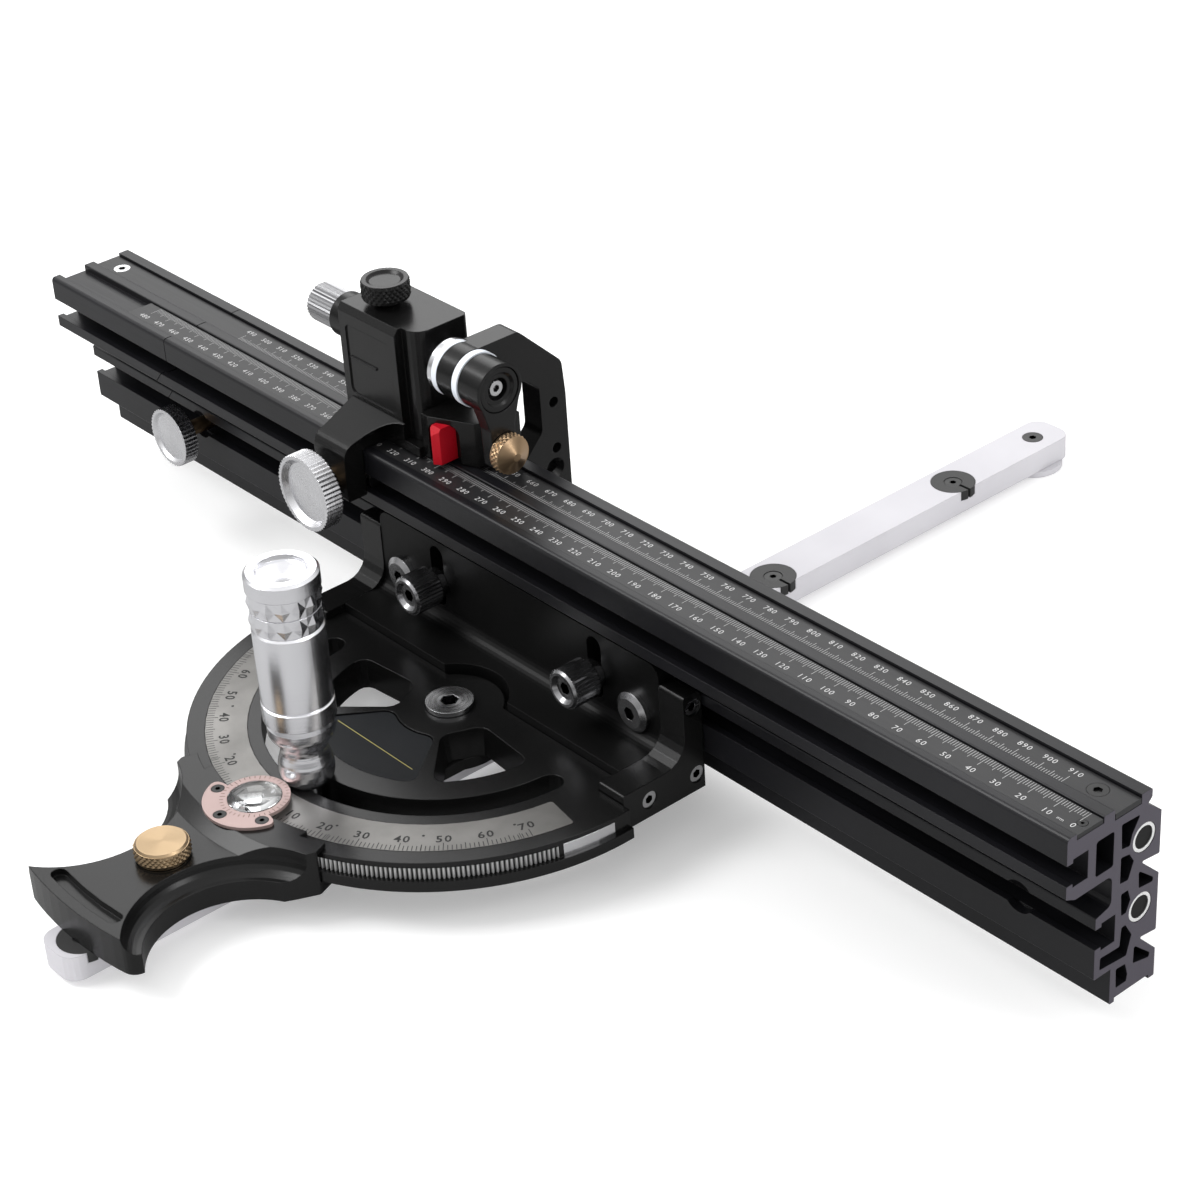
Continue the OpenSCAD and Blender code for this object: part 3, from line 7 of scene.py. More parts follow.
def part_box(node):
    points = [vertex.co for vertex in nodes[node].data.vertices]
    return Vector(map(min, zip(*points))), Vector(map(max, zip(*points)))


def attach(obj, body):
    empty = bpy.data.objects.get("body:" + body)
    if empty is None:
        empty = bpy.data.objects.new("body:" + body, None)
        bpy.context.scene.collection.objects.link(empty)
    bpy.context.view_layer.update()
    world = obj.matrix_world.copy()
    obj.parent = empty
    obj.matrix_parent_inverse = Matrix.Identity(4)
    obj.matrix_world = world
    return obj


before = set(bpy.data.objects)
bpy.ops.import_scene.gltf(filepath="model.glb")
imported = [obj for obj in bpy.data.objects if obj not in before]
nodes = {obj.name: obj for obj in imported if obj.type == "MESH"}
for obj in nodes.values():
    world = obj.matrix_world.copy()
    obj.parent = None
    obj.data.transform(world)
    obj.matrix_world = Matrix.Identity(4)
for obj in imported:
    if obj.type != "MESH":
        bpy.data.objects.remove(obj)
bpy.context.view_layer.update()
MM = 0.001


# Camera: a long lens from the handle's right, a little tilted

CAMERA_AT = Vector((710.77, -503.02, 591.96)) * MM
CAMERA_AZIMUTH, CAMERA_ELEVATION, CAMERA_ROLL = 51.14, 31.78, -3.92
CAMERA_LENS, CAMERA_SENSOR = 90.18, 36.0


def add_camera():
    az, el = math.radians(CAMERA_AZIMUTH), math.radians(CAMERA_ELEVATION)
    look = Vector((-math.sin(az) * math.cos(el), math.cos(az) * math.cos(el), -math.sin(el)))
    camera = bpy.data.objects.new("camera", bpy.data.cameras.new("camera"))
    bpy.context.scene.collection.objects.link(camera)
    camera.location = CAMERA_AT
    camera.rotation_mode = "QUATERNION"
    roll = Quaternion((0, 0, 1), math.radians(CAMERA_ROLL))
    camera.rotation_quaternion = look.to_track_quat("-Z", "Y") @ roll
    camera.data.lens = CAMERA_LENS
    camera.data.sensor_width = CAMERA_SENSOR
    camera.data.clip_start, camera.data.clip_end = 0.01, 50
    bpy.context.scene.camera = camera


# Materials: shader nodes on each object's own coordinates

# Stretches of the grain: the smaller an axis's number, the longer the grain runs on it
EVEN, ALONG_X, ALONG_Y = (1, 1, 1), (0.01, 1, 1), (1, 0.01, 1)
FAINT_ALONG_Y, BANDS_Z = (1, 0.05, 1), (0.01, 0.01, 1)
LATHE_STREAK = 0.75  # how far a lathe's marks stretch a highlight
RELIEF = 0.2 * MM  # height that a bump of strength 1 stands for
SOCKET_REACH = 5 * MM  # how far off a piece's own walls still shade it, in the painted shade of its sockets
CLOUD_START, CLOUD_STOP = 0.3, 0.7  # noise between which a finish's colour varies
EDGE_SAMPLES, SOCKET_SAMPLES = 4, 8


def new_material(name):
    material = bpy.data.materials.new(name)
    material.use_nodes = True
    shader = material.node_tree.nodes["Principled BSDF"]
    return material, material.node_tree.nodes, material.node_tree.links, shader


def stretched_noise(tree_nodes, links, scale, stretch=EVEN, detail=3.0):
    """Noise in object space, squeezed along each axis by stretch."""
    coords = tree_nodes.new("ShaderNodeTexCoord")
    mapping = tree_nodes.new("ShaderNodeMapping")
    mapping.inputs["Scale"].default_value = stretch
    noise = tree_nodes.new("ShaderNodeTexNoise")
    noise.inputs["Scale"].default_value = scale
    noise.inputs["Detail"].default_value = detail
    links.new(coords.outputs["Object"], mapping.inputs["Vector"])
    links.new(mapping.outputs["Vector"], noise.inputs["Vector"])
    return noise


def ramp(tree_nodes, links, source, low, high, start=0.35, stop=0.65):
    """Colour ramp between two colours, driven by a noise."""
    node = tree_nodes.new("ShaderNodeValToRGB")
    node.color_ramp.elements[0].position = start
    node.color_ramp.elements[1].position = stop
    node.color_ramp.elements[0].color = (*low, 1)
    node.color_ramp.elements[1].color = (*high, 1)
    links.new(source.outputs["Fac"], node.inputs["Fac"])
    return node


def mix_colours(tree_nodes, links, factor, first, second):
    """Colour that passes from first to second with factor; first is a socket or a colour."""
    mix = tree_nodes.new("ShaderNodeMix")
    mix.data_type = "RGBA"
    links.new(factor, mix.inputs["Factor"])
    if isinstance(first, tuple):
        mix.inputs["A"].default_value = (*first, 1)
    else:
        links.new(first, mix.inputs["A"])
    mix.inputs["B"].default_value = (*second, 1)
    return mix.outputs["Result"]


def length_on(tree_nodes, links, place, axes):
    """Length of the vector place, with only the axes marked 1 counted."""
    flat = tree_nodes.new("ShaderNodeVectorMath")
    flat.operation = "MULTIPLY"
    flat.inputs[1].default_value = axes
    length = tree_nodes.new("ShaderNodeVectorMath")
    length.operation = "LENGTH"
    links.new(place, flat.inputs[0])
    links.new(flat.outputs["Vector"], length.inputs[0])
    return length.outputs["Value"]


def grey(v):
    return (v, v, v)


def ring_grain(tree_nodes, links, shader, fine, node, axis):
    """Leads the grain round a turned piece, and stretches its highlights as a lathe's marks do."""
    low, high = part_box(node)
    coords = tree_nodes.new("ShaderNodeTexCoord")
    shift = tree_nodes.new("ShaderNodeVectorMath")
    shift.operation = "SUBTRACT"
    shift.inputs[1].default_value = (Vector(low) + Vector(high)) / 2
    links.new(coords.outputs["Object"], shift.inputs[0])
    across = tuple(0 if name == axis else 1 for name in "XYZ")
    radius = length_on(tree_nodes, links, shift.outputs["Vector"], across)
    along = tree_nodes.new("ShaderNodeSeparateXYZ")
    links.new(shift.outputs["Vector"], along.inputs["Vector"])
    place = tree_nodes.new("ShaderNodeCombineXYZ")
    links.new(radius, place.inputs["X"])
    links.new(along.outputs[axis], place.inputs["Y"])
    links.new(place.outputs["Vector"], fine.inputs["Vector"])
    tangent = tree_nodes.new("ShaderNodeTangent")
    tangent.direction_type = "RADIAL"
    tangent.axis = axis
    links.new(tangent.outputs["Tangent"], shader.inputs["Tangent"])
    shader.inputs["Anisotropic"].default_value = LATHE_STREAK


def connect_relief(tree_nodes, links, shader, source, bump, edge):
    """Bump from a noise, over edges rounded by edge mm."""
    relief = tree_nodes.new("ShaderNodeBump")
    relief.inputs["Strength"].default_value = bump
    relief.inputs["Distance"].default_value = RELIEF
    links.new(source.outputs["Fac"], relief.inputs["Height"])
    if edge:
        bevel = tree_nodes.new("ShaderNodeBevel")
        bevel.samples = EDGE_SAMPLES
        bevel.inputs["Radius"].default_value = edge * MM
        links.new(bevel.outputs["Normal"], relief.inputs["Normal"])
    links.new(relief.outputs["Normal"], shader.inputs["Normal"])


def surface(name, low, high, roughness, metallic=0.0, grain=1500, stretch=EVEN, bump=0.02,
            edge=0.25, specular=0.5, cloud=22.0, turned=None):
    """Finish whose colour varies slowly, and whose roughness and bump follow a fine grain.

    A turned piece has its grain in rings; turned gives its node and the axis it was turned on.
    """
    material, tree_nodes, links, shader = new_material(name)
    fine = stretched_noise(tree_nodes, links, grain, stretch)
    if turned:
        ring_grain(tree_nodes, links, shader, fine, *turned)
    broad = stretched_noise(tree_nodes, links, cloud, detail=4.0)
    colour = ramp(tree_nodes, links, broad, low, high, CLOUD_START, CLOUD_STOP)
    links.new(colour.outputs["Color"], shader.inputs["Base Color"])
    rough = tree_nodes.new("ShaderNodeMapRange")
    rough.inputs["To Min"].default_value = roughness[0]
    rough.inputs["To Max"].default_value = roughness[1]
    links.new(fine.outputs["Fac"], rough.inputs["Value"])
    links.new(rough.outputs["Result"], shader.inputs["Roughness"])
    connect_relief(tree_nodes, links, shader, fine, bump, edge)
    shader.inputs["Metallic"].default_value = metallic
    shader.inputs["Specular IOR Level"].default_value = specular
    return material


def lens_glass():
    material, tree_nodes, links, shader = new_material("lens_glass")
    noise = stretched_noise(tree_nodes, links, 60.0)
    tint = ramp(tree_nodes, links, noise, (0.93, 0.95, 0.96), (1.0, 1.0, 1.0))
    links.new(tint.outputs["Color"], shader.inputs["Base Color"])
    shader.inputs["Roughness"].default_value = 0.02
    shader.inputs["Transmission Weight"].default_value = 1.0
    shader.inputs["IOR"].default_value = 1.5
    return material


RAIL = dict(low=(0.005, 0.005, 0.006), high=(0.008, 0.008, 0.01), roughness=(0.3, 0.42),
            grain=2500, stretch=ALONG_X, bump=0.05, edge=0.3, specular=0.3)
KNOB = dict(low=(0.7, 0.7, 0.72), high=(0.85, 0.85, 0.87), roughness=(0.18, 0.34), metallic=1.0,
            bump=0.06)
INK = dict(roughness=(0.5, 0.6), bump=0.0, edge=0)

LOOKS = {
    "black_anodised": dict(low=grey(0.003), high=grey(0.006), roughness=(0.2, 0.3), grain=2500,
                           bump=0.04, edge=0.5, specular=0.3),
    "bracket_black": dict(low=grey(0.002), high=grey(0.004), roughness=(0.34, 0.46), grain=2500,
                          bump=0.04, edge=0.4, specular=0.16),
    "fence_anodised": RAIL,
    "extension_anodised": RAIL,
    "scale_black": dict(low=(0.014, 0.014, 0.015), high=(0.02, 0.02, 0.021),
                        roughness=(0.34, 0.46), grain=2500, stretch=ALONG_X, bump=0.04,
                        edge=0.15, specular=0.35),
    "bright_bar": dict(low=(0.55, 0.54, 0.57), high=(0.61, 0.6, 0.63), roughness=(0.4, 0.5),
                       grain=3000, stretch=ALONG_Y, bump=0.05, edge=0.4, specular=0.2),
    "rod_steel": dict(low=grey(0.26), high=grey(0.34), roughness=(0.2, 0.3), metallic=0.5,
                      grain=2500, stretch=FAINT_ALONG_Y, bump=0.03, edge=0.15),
    "socket_steel": dict(low=(0.5, 0.5, 0.51), high=(0.66, 0.66, 0.67), roughness=(0.16, 0.34),
                         metallic=1.0, grain=2500, stretch=BANDS_Z, bump=0.08),
    # black plastic, and painted shade: the plugs are darkened further to stand for the shade inside
    # the hollow rods
    "plug_painted_bore_shade": dict(low=grey(0.003), high=grey(0.005), roughness=(0.4, 0.5), bump=0.03,
                       edge=0.2, specular=0.25),
    "handle_steel": dict(low=(0.78, 0.78, 0.81), high=(0.9, 0.9, 0.93), roughness=(0.14, 0.3),
                         metallic=1.0, grain=1800, bump=0.05, edge=0.3,
                         turned=("clamp_handle", "Z")),
    "stop_knob_steel": dict(KNOB, turned=("stop_knob", "Y")),
    "lock_knob_steel": dict(KNOB, turned=("lock_knob", "Y")),
    "pivot_steel": dict(low=(0.6, 0.6, 0.61), high=(0.74, 0.74, 0.75), roughness=(0.18, 0.36),
                        metallic=1.0, bump=0.08, turned=("pivot_screw", "Z")),
    "index_brass": dict(low=(0.35, 0.25, 0.145), high=(0.45, 0.33, 0.205),
                        roughness=(0.24, 0.38), metallic=1.0, bump=0.08, edge=0.12,
                        turned=("index_knob", "Z")),
    "turned_y": dict(low=(0.7, 0.7, 0.72), high=(0.85, 0.85, 0.87), roughness=(0.16, 0.3),
                     metallic=1.0, grain=2500, stretch=FAINT_ALONG_Y, bump=0.06),
    "steel": dict(low=(0.42, 0.42, 0.43), high=(0.55, 0.55, 0.56), roughness=(0.2, 0.28),
                  metallic=1.0, edge=0.2),
    "knurl_steel": dict(low=(0.34, 0.34, 0.35), high=(0.46, 0.46, 0.47), roughness=(0.18, 0.28),
                        metallic=1.0, edge=0.12),
    "tooth_steel": dict(low=grey(0.66), high=grey(0.8), roughness=(0.26, 0.36), metallic=0.6,
                        edge=0.08),
    "dark_steel": dict(low=grey(0.03), high=grey(0.05), roughness=(0.25, 0.36), metallic=1.0,
                       bump=0.03),
    "brass": dict(low=(0.36, 0.24, 0.13), high=(0.48, 0.33, 0.2), roughness=(0.24, 0.38),
                  metallic=1.0, stretch=BANDS_Z, bump=0.06, edge=0.12),
    "copper": dict(low=(0.39, 0.29, 0.275), high=(0.47, 0.35, 0.33), roughness=(0.36, 0.5),
                   metallic=0.5, grain=2500, bump=0.03, edge=0.2),
    "band": dict(low=(0.175, 0.171, 0.163), high=(0.275, 0.268, 0.257), roughness=(0.3, 0.44),
                 metallic=0.8, grain=2500, bump=0.06, edge=0.1, cloud=45.0),
    "slate": dict(low=(0.006, 0.007, 0.008), high=(0.012, 0.013, 0.015), roughness=(0.42, 0.55),
                  grain=2500, bump=0.06, edge=0.1, specular=0.2),
    "nylon": dict(low=grey(0.012), high=grey(0.022), roughness=(0.42, 0.55), bump=0.08, edge=0.3),
    "red": dict(low=(0.4, 0.004, 0.012), high=(0.52, 0.008, 0.02), roughness=(0.24, 0.34),
                bump=0.03, edge=0.3, specular=0.25),
    "white": dict(low=(0.74, 0.78, 0.84), high=(0.82, 0.86, 0.92), roughness=(0.3, 0.4),
                  edge=0.2),
    "ink_white": dict(INK, low=grey(0.5), high=grey(0.56)),
    "ink_grey": dict(INK, low=grey(0.34), high=grey(0.4)),
    "ink_black": dict(INK, low=grey(0.008), high=grey(0.014)),
    "ink_brown": dict(INK, low=(0.09, 0.045, 0.04), high=(0.12, 0.06, 0.05)),
    "gold_line": dict(low=(0.3, 0.28, 0.08), high=(0.38, 0.34, 0.11), roughness=(0.4, 0.5),
                      metallic=0.3, bump=0.0, edge=0),
}
MATERIALS = {name: surface(name, **look) for name, look in LOOKS.items()}
MATERIALS["lens_glass"] = lens_glass()


# Places where a finish changes: sawn ends, cut rod ends lightened partly as a painted highlight, and
# painted shade in the gaps between teeth and in the sockets of screws

VIOLET = (0.062, 0.056, 0.072)  # sawn ends of the rails
CUT_STEEL_AND_HIGHLIGHT = grey(0.86)  # cut ends of the guide rods: bare steel, lightened further as a painted highlight
# painted shade: colours for the gaps between teeth and for the sockets of screws
TOOTH_GAP_PAINTED_SHADE, SOCKET_PAINTED_SHADE = grey(0.012), grey(0.006)
SKIN = 0.1 * MM  # depth over which a cut end's colour changes
FENCE_END, EXTENSION_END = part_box("fence_rail")[1].x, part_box("extension_rail")[0].x
ROD_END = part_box("guide_rods")[1].x
TOOTH_FACE, TOOTH_FLANK = 0.2 * MM, 0.8 * MM  # depths that keep the steel's colour, and over which painted shade darkens the gaps between teeth
TOOTH_TIP = -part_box("index_ring")[0].y - TOOTH_FACE
TOOTH_FOOT = TOOTH_TIP - TOOTH_FLANK
SOCKET_OPEN, SOCKET_SHUT = 0.75, 0.45  # shares of light between which painted shade darkens a socket


def blend_by(finish, measure, start, stop, other):
    """Turns a finish's base colour into other where measure passes from start to stop."""
    tree = MATERIALS[finish].node_tree
    tree_nodes, links = tree.nodes, tree.links
    shader = tree_nodes["Principled BSDF"]
    coords = tree_nodes.new("ShaderNodeTexCoord")
    span = tree_nodes.new("ShaderNodeMapRange")
    span.inputs["From Min"].default_value = start
    span.inputs["From Max"].default_value = stop
    links.new(measure(tree_nodes, links, coords.outputs["Object"]), span.inputs["Value"])
    before = shader.inputs["Base Color"].links[0].from_socket
    mixed = mix_colours(tree_nodes, links, span.outputs["Result"], before, other)
    links.new(mixed, shader.inputs["Base Color"])


def along_fence(tree_nodes, links, place):
    """Distance along X."""
    parts = tree_nodes.new("ShaderNodeSeparateXYZ")
    links.new(place, parts.inputs["Vector"])
    return parts.outputs["X"]


def from_pivot(tree_nodes, links, place):
    """Distance from the pivot's axis."""
    return length_on(tree_nodes, links, place, (1, 1, 0))


def openness(tree_nodes, links, place):
    """Share of light that a piece's own walls let in, low in a screw's socket; place is unused."""
    hollow = tree_nodes.new("ShaderNodeAmbientOcclusion")
    hollow.samples = SOCKET_SAMPLES
    hollow.only_local = True
    hollow.inputs["Distance"].default_value = SOCKET_REACH
    return hollow.outputs["AO"]


blend_by("fence_anodised", along_fence, FENCE_END - SKIN, FENCE_END - SKIN / 2, VIOLET)
blend_by("extension_anodised", along_fence, EXTENSION_END + SKIN, EXTENSION_END + SKIN / 2,
         VIOLET)
# painted highlight, partly bare steel: the rods' cut ends are lighter than the rods
blend_by("rod_steel", along_fence, ROD_END - SKIN, ROD_END - SKIN / 2, CUT_STEEL_AND_HIGHLIGHT)
# painted shade: the index ring's steel darkens with depth into the gaps between its teeth
blend_by("tooth_steel", from_pivot, TOOTH_TIP, TOOTH_FOOT, TOOTH_GAP_PAINTED_SHADE)
# painted shade: each screw finish darkens in its sockets and hollows, where ambient occlusion finds
# its own walls near
for screw_finish in ("steel", "pivot_steel", "socket_steel", "knurl_steel", "dark_steel"):
    blend_by(screw_finish, openness, SOCKET_OPEN, SOCKET_SHUT, SOCKET_PAINTED_SHADE)


FINISH = {
    "black_anodised": ["index_arm", "protractor_plate", "end_cheeks", "stop_saddle",
                       "stop_tower", "rear_arm", "front_arm", "top_knob", "end_cap"],
    "bracket_black": ["head_bracket"],
    "fence_anodised": ["fence_rail"],
    "extension_anodised": ["extension_rail"],
    "scale_black": ["front_scale", "core_bar"],
    "bright_bar": ["mitre_bar", "retaining_disc"],
    "handle_steel": ["clamp_handle"],
    "stop_knob_steel": ["stop_knob"],
    "lock_knob_steel": ["lock_knob"],
    "turned_y": ["rim_patches", "thrust_ring"],
    "rod_steel": ["guide_rods"],
    "pivot_steel": ["pivot_screw"],
    "socket_steel": ["cheek_screws", "core_screws", "end_screw"],
    "steel": ["arm_screws", "clamp_stud", "index_pawl", "plate_screws", "t_nuts", "stop_nut",
              "micro_shaft", "bracket_screws"],
    "knurl_steel": ["micro_knob", "thumb_screw_left", "thumb_screw_right"],
    "tooth_steel": ["index_ring"],
    "dark_steel": ["disc_screws", "bar_end_screw", "eyepiece_screws", "scale_screw",
                   "core_end_screw"],
    "index_brass": ["index_knob"],
    "brass": ["lock_bolt", "stop_bolt", "arm_thumbscrew"],
    "copper": ["eyepiece_plate"],
    "band": ["scale_band"],
    "slate": ["badge_plate"],
    "nylon": ["expansion_discs"],
    # painted shade: the near-black plugs stand also for the shade inside the hollow rods
    "plug_painted_bore_shade": ["rod_plugs"],
    "red": ["pointer"],
    "white": ["shaft_washers"],
    "lens_glass": ["lens"],
}


def paint_nodes():
    for finish, names in FINISH.items():
        for name in names:
            node = nodes[name]
            node.data.materials.clear()
            node.data.materials.append(MATERIALS[finish])


# Marks: numerals and graduations laid on the scales as thin flat meshes; sizes are in mm

LIFT = 0.03  # height of a mark above its surface
FINE_LINE = 0.22  # width of a millimetre graduation
PITCH = 0.6  # width kept for one numeral, as a share of its size
MIDDLE = 0.35  # half a numeral's height, as a share of its size
STRIP_ZERO_X, CORE_LAST, CORE_LAST_X = 253.8, 910, 236.2  # where the fence's scales begin and end
MM_SIGN_IN, MM_SIGN_Y, MM_SIGN_SIZE = 4.6, 33.1, 1.9
BAND_BORDER, BAND_LINE, BAND_LENGTHS = 0.2, 0.3, (4.0, 3.3, 2.6)
BAND_NUMBER_IN, BAND_NUMBER_SIZE, BAND_NUMBER_WEIGHT = 6.2, 4.9, 0.02
SAW_ANGLES, SAW_LENGTH, SAW_DOT_IN, SAW_DOT_R = (22.5, 45, 67.5), 3.2, 8.2, 0.5
RING_OUT, RING_IN_LONG, RING_IN_SHORT, RING_LINE = 11.8, 9.9, 10.5, 0.24
RULE_REACH, RULE_Y, RULE_LINE = 21, -33, 0.35
GLYPHS = {}


def glyph(character, weight):
    """Flat outline of one character at size 1, from Blender's own font, widened by weight."""
    if (character, weight) not in GLYPHS:
        curve = bpy.data.curves.new("glyph", "FONT")
        curve.body = character
        curve.resolution_u = 2
        curve.offset = weight
        letter = bpy.data.objects.new("glyph", curve)
        bpy.context.scene.collection.objects.link(letter)
        bpy.context.view_layer.update()
        shape = letter.evaluated_get(bpy.context.evaluated_depsgraph_get()).to_mesh()
        points = [(v.co.x, v.co.y) for v in shape.vertices]
        faces = [list(p.vertices) for p in shape.polygons]
        middle = (max(p[0] for p in points) + min(p[0] for p in points)) / 2
        points = [(p[0] - middle + PITCH / 2, p[1]) for p in points]
        GLYPHS[character, weight] = {"points": points, "faces": faces}
        bpy.data.objects.remove(letter)
        bpy.data.curves.remove(curve)
    return GLYPHS[character, weight]


class Marks:
    """Collects flat marks, then makes one object of them."""

    def __init__(self):
        self.points, self.faces = [], []

    def add(self, points, faces):
        start = len(self.points)
        self.points += points
        self.faces += [[start + i for i in face] for face in faces]

    def tick(self, a, b, z, width):
        """Thin bar from a to b."""
        across = Vector((b[1] - a[1], a[0] - b[0])).normalized() * width / 2
        corners = [(a[0] + across.x, a[1] + across.y), (b[0] + across.x, b[1] + across.y),
                   (b[0] - across.x, b[1] - across.y), (a[0] - across.x, a[1] - across.y)]
        self.add([Vector((x, y, z)) * MM for x, y in corners], [[3, 2, 1, 0]])

    def dot(self, x, y, z, r):
        turns = [math.radians(t) for t in range(0, 360, 30)]
        ring = [Vector((x + r * math.cos(t), y + r * math.sin(t), z)) * MM for t in turns]
        self.add(ring, [list(range(len(ring)))])

    def text(self, words, x, y, z, size, turn=0.0, weight=0.0):
        """Characters centred at (x, y), turned by turn degrees about Z."""
        pen = -len(words) * PITCH / 2 * size
        c, s = math.cos(math.radians(turn)), math.sin(math.radians(turn))
        for g in [glyph(character, weight) for character in words]:
            placed = [(pen + p[0] * size, (p[1] - MIDDLE) * size) for p in g["points"]]
            self.add([Vector((x + c * u - s * v, y + s * u + c * v, z)) * MM
                      for u, v in placed], g["faces"])
            pen += PITCH * size

    def build(self, name, body, material):
        mesh = bpy.data.meshes.new(name)
        mesh.from_pydata([tuple(p) for p in self.points], [], self.faces)
        mesh.materials.append(MATERIALS[material])
        piece = bpy.data.objects.new(name, mesh)
        bpy.context.scene.collection.objects.link(piece)
        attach(piece, body)


def top_of(node):
    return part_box(node)[1].z / MM + LIFT


def rank(reading):
    """0 at each tenth graduation, 1 at each fifth and 2 at the rest."""
    return 0 if reading % 10 == 0 else 1 if reading % 5 == 0 else 2


def millimetre_row(readings, place, foot, tips, number_y, number_size, z):
    """Graduations from y foot to the y in tips for their rank, and a number at each tenth."""
    ticks, numbers = Marks(), Marks()
    for reading in readings:
        x = place(reading)
        ticks.tick((x, foot), (x, tips[rank(reading)]), z, FINE_LINE)
        if rank(reading) == 0:
            numbers.text(str(reading), x, number_y, z, number_size)
    return ticks, numbers


def fence_scales():
    """Millimetre scales: 0 to 480 on the front strip, 490 to 910 on the core bar."""
    z = top_of("front_scale")
    ticks, numbers = millimetre_row(range(0, 481), lambda n: STRIP_ZERO_X - n, foot=41.2,
                                    tips=(36.2, 37.2, 38.4), number_y=33.3, number_size=3.2, z=z)
    numbers.text("mm", STRIP_ZERO_X - MM_SIGN_IN, MM_SIGN_Y, z, MM_SIGN_SIZE)
    ticks.build("front_scale_ticks", "fence", "ink_grey")
    numbers.build("front_scale_numbers", "fence", "ink_white")
    ticks, numbers = millimetre_row(range(490, CORE_LAST + 1), lambda n: CORE_LAST_X + n - CORE_LAST,
                                    foot=47.2, tips=(51.8, 50.8, 49.8), number_y=54.5,
                                    number_size=3.1, z=top_of("core_bar"))
    ticks.build("core_bar_ticks", "extension", "ink_grey")
    numbers.build("core_bar_numbers", "extension", "ink_white")


def polar(r, degrees):
    """Point at radius r, at an angle about the pivot from the handle's side."""
    return r * math.sin(math.radians(degrees)), -r * math.cos(math.radians(degrees))


def band_scale():
    """Degree scale on the head, 0 to 70 both ways, with a dot at each usual saw angle."""
    outer = -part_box("scale_band")[0].y / MM - BAND_BORDER
    z, marks = top_of("scale_band"), Marks()
    for degree in range(-70, 71):
        inner = outer - BAND_LENGTHS[rank(degree)]
        marks.tick(polar(inner, degree), polar(outer, degree), z, BAND_LINE)
        if rank(degree) == 0:
            x, y = polar(outer - BAND_NUMBER_IN, degree)
            marks.text(str(abs(degree)), x, y, z, BAND_NUMBER_SIZE, degree, BAND_NUMBER_WEIGHT)
    for degree in SAW_ANGLES:
        for turn in (-degree, degree):
            marks.dot(*polar(outer - SAW_DOT_IN, turn), z, SAW_DOT_R)
            marks.tick(polar(outer - SAW_LENGTH, turn), polar(outer, turn), z, FINE_LINE)
    marks.build("band_marks", "head", "ink_black")


def eyepiece_marks():
    """Vernier lines round the ring of the lens."""
    low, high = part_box("lens")
    centre, z, marks = (low.y + high.y) / 2 / MM, top_of("eyepiece_plate"), Marks()
    for degree in range(0, 360, 9):
        inner = RING_IN_LONG if degree % 45 == 0 else RING_IN_SHORT
        a, b = polar(inner, degree), polar(RING_OUT, degree)
        marks.tick((a[0], a[1] + centre), (b[0], b[1] + centre), z, RING_LINE)
    marks.build("eyepiece_marks", "base", "ink_brown")


def badge_line():
    """Thin gilt rule across the bare badge plate."""
    marks = Marks()
    marks.tick((-RULE_REACH, RULE_Y), (RULE_REACH, RULE_Y), top_of("badge_plate"), RULE_LINE)
    marks.build("badge_line", "head", "gold_line")


# Floor and light

FLOOR_REACH = 30  # metres from the middle to each side
FLOOR_GAP = 0.2 * MM  # from the lowest piece down to the floor
FLOOR_GLOW = 0.3  # keeps the shadows light
FLOOR_LOW, FLOOR_HIGH, FLOOR_MIRRORED = grey(0.78), grey(0.8), grey(0.42)
HORIZON, OVERHEAD = (0.08, grey(0.3)), (0.6, grey(1.0))  # upward share of a direction, and colour
SOFT_BOXES = {  # place and size in metres, and power in watts
    "key": ((-0.9, -0.9, 1.6), (1.2, 1.0), 26),
    "back": ((-1.7, 1.4, 1.35), (1.6, 1.1), 11),
    "side": ((1.6, 0.5, 1.1), (0.5, 1.2), 9),
}


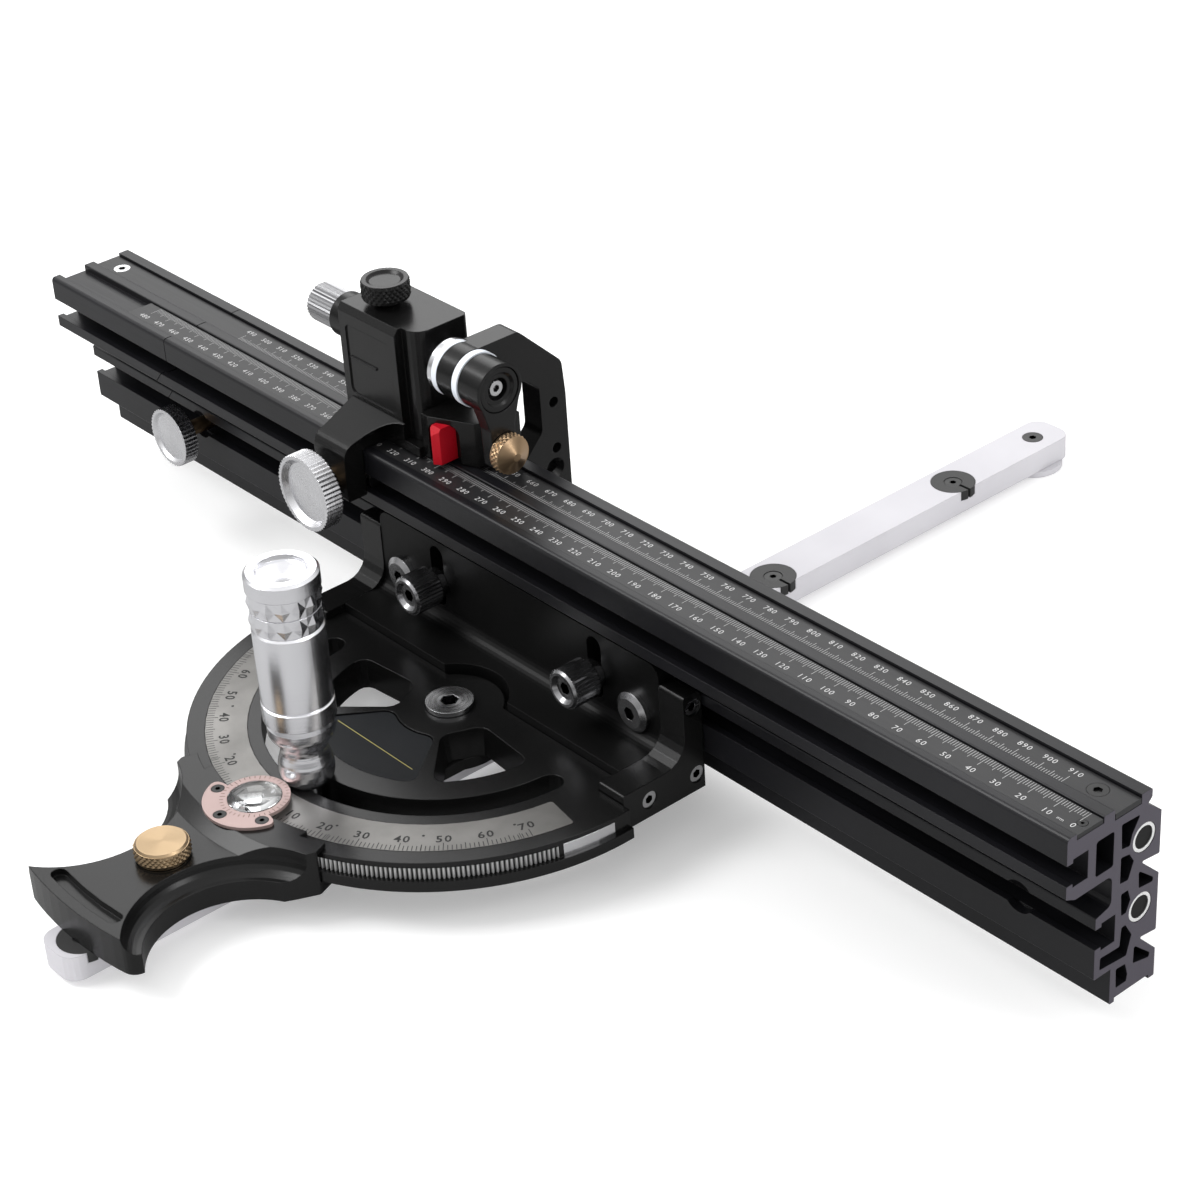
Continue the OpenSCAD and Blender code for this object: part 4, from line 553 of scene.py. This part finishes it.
def floor_material():
    """Pale and faintly glowing, but dimmer in glossy reflections, like a table among black cards."""
    material, tree_nodes, links, shader = new_material("floor")
    noise = stretched_noise(tree_nodes, links, 3.0)
    tint = ramp(tree_nodes, links, noise, FLOOR_LOW, FLOOR_HIGH).outputs["Color"]
    mirrored = tree_nodes.new("ShaderNodeLightPath").outputs["Is Glossy Ray"]
    links.new(mix_colours(tree_nodes, links, mirrored, tint, FLOOR_MIRRORED),
              shader.inputs["Base Color"])
    links.new(mix_colours(tree_nodes, links, mirrored, grey(1.0), grey(0.0)),
              shader.inputs["Emission Color"])
    shader.inputs["Emission Strength"].default_value = FLOOR_GLOW
    shader.inputs["Roughness"].default_value = 0.85
    shader.inputs["Specular IOR Level"].default_value = 0.1
    return material


def add_floor():
    z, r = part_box("retaining_disc")[0].z - FLOOR_GAP, FLOOR_REACH
    mesh = bpy.data.meshes.new("floor")
    mesh.from_pydata([(-r, -r, z), (r, -r, z), (r, r, z), (-r, r, z)], [], [[0, 1, 2, 3]])
    mesh.materials.append(floor_material())
    floor = bpy.data.objects.new("floor", mesh)
    bpy.context.scene.collection.objects.link(floor)


def add_area(name, at, size, power):
    """Soft box at a place, turned to the object."""
    light = bpy.data.lights.new(name, "AREA")
    light.shape = "RECTANGLE"
    light.size, light.size_y = size
    light.energy = power
    lamp = bpy.data.objects.new(name, light)
    lamp.location = at
    lamp.rotation_mode = "QUATERNION"
    lamp.rotation_quaternion = (-Vector(at)).to_track_quat("-Z", "Y")
    bpy.context.scene.collection.objects.link(lamp)


def add_sky():
    """Studio that is bright overhead and dim near the horizon."""
    world = bpy.data.worlds.new("studio")
    world.use_nodes = True
    tree_nodes, links = world.node_tree.nodes, world.node_tree.links
    coords = tree_nodes.new("ShaderNodeTexCoord")
    parts = tree_nodes.new("ShaderNodeSeparateXYZ")
    height = tree_nodes.new("ShaderNodeValToRGB")
    for element, (position, colour) in zip(height.color_ramp.elements, (HORIZON, OVERHEAD)):
        element.position, element.color = position, (*colour, 1)
    links.new(coords.outputs["Generated"], parts.inputs["Vector"])
    links.new(parts.outputs["Z"], height.inputs["Fac"])
    background = tree_nodes["Background"]
    links.new(height.outputs["Color"], background.inputs["Color"])
    background.inputs["Strength"].default_value = 1.0
    bpy.context.scene.world = world


def add_light():
    add_sky()
    for name, (at, size, power) in SOFT_BOXES.items():
        add_area(name, at, size, power)
    bpy.context.scene.view_settings.view_transform = "Standard"


add_camera()
paint_nodes()
fence_scales()
band_scale()
eyepiece_marks()
badge_line()
add_floor()
add_light()
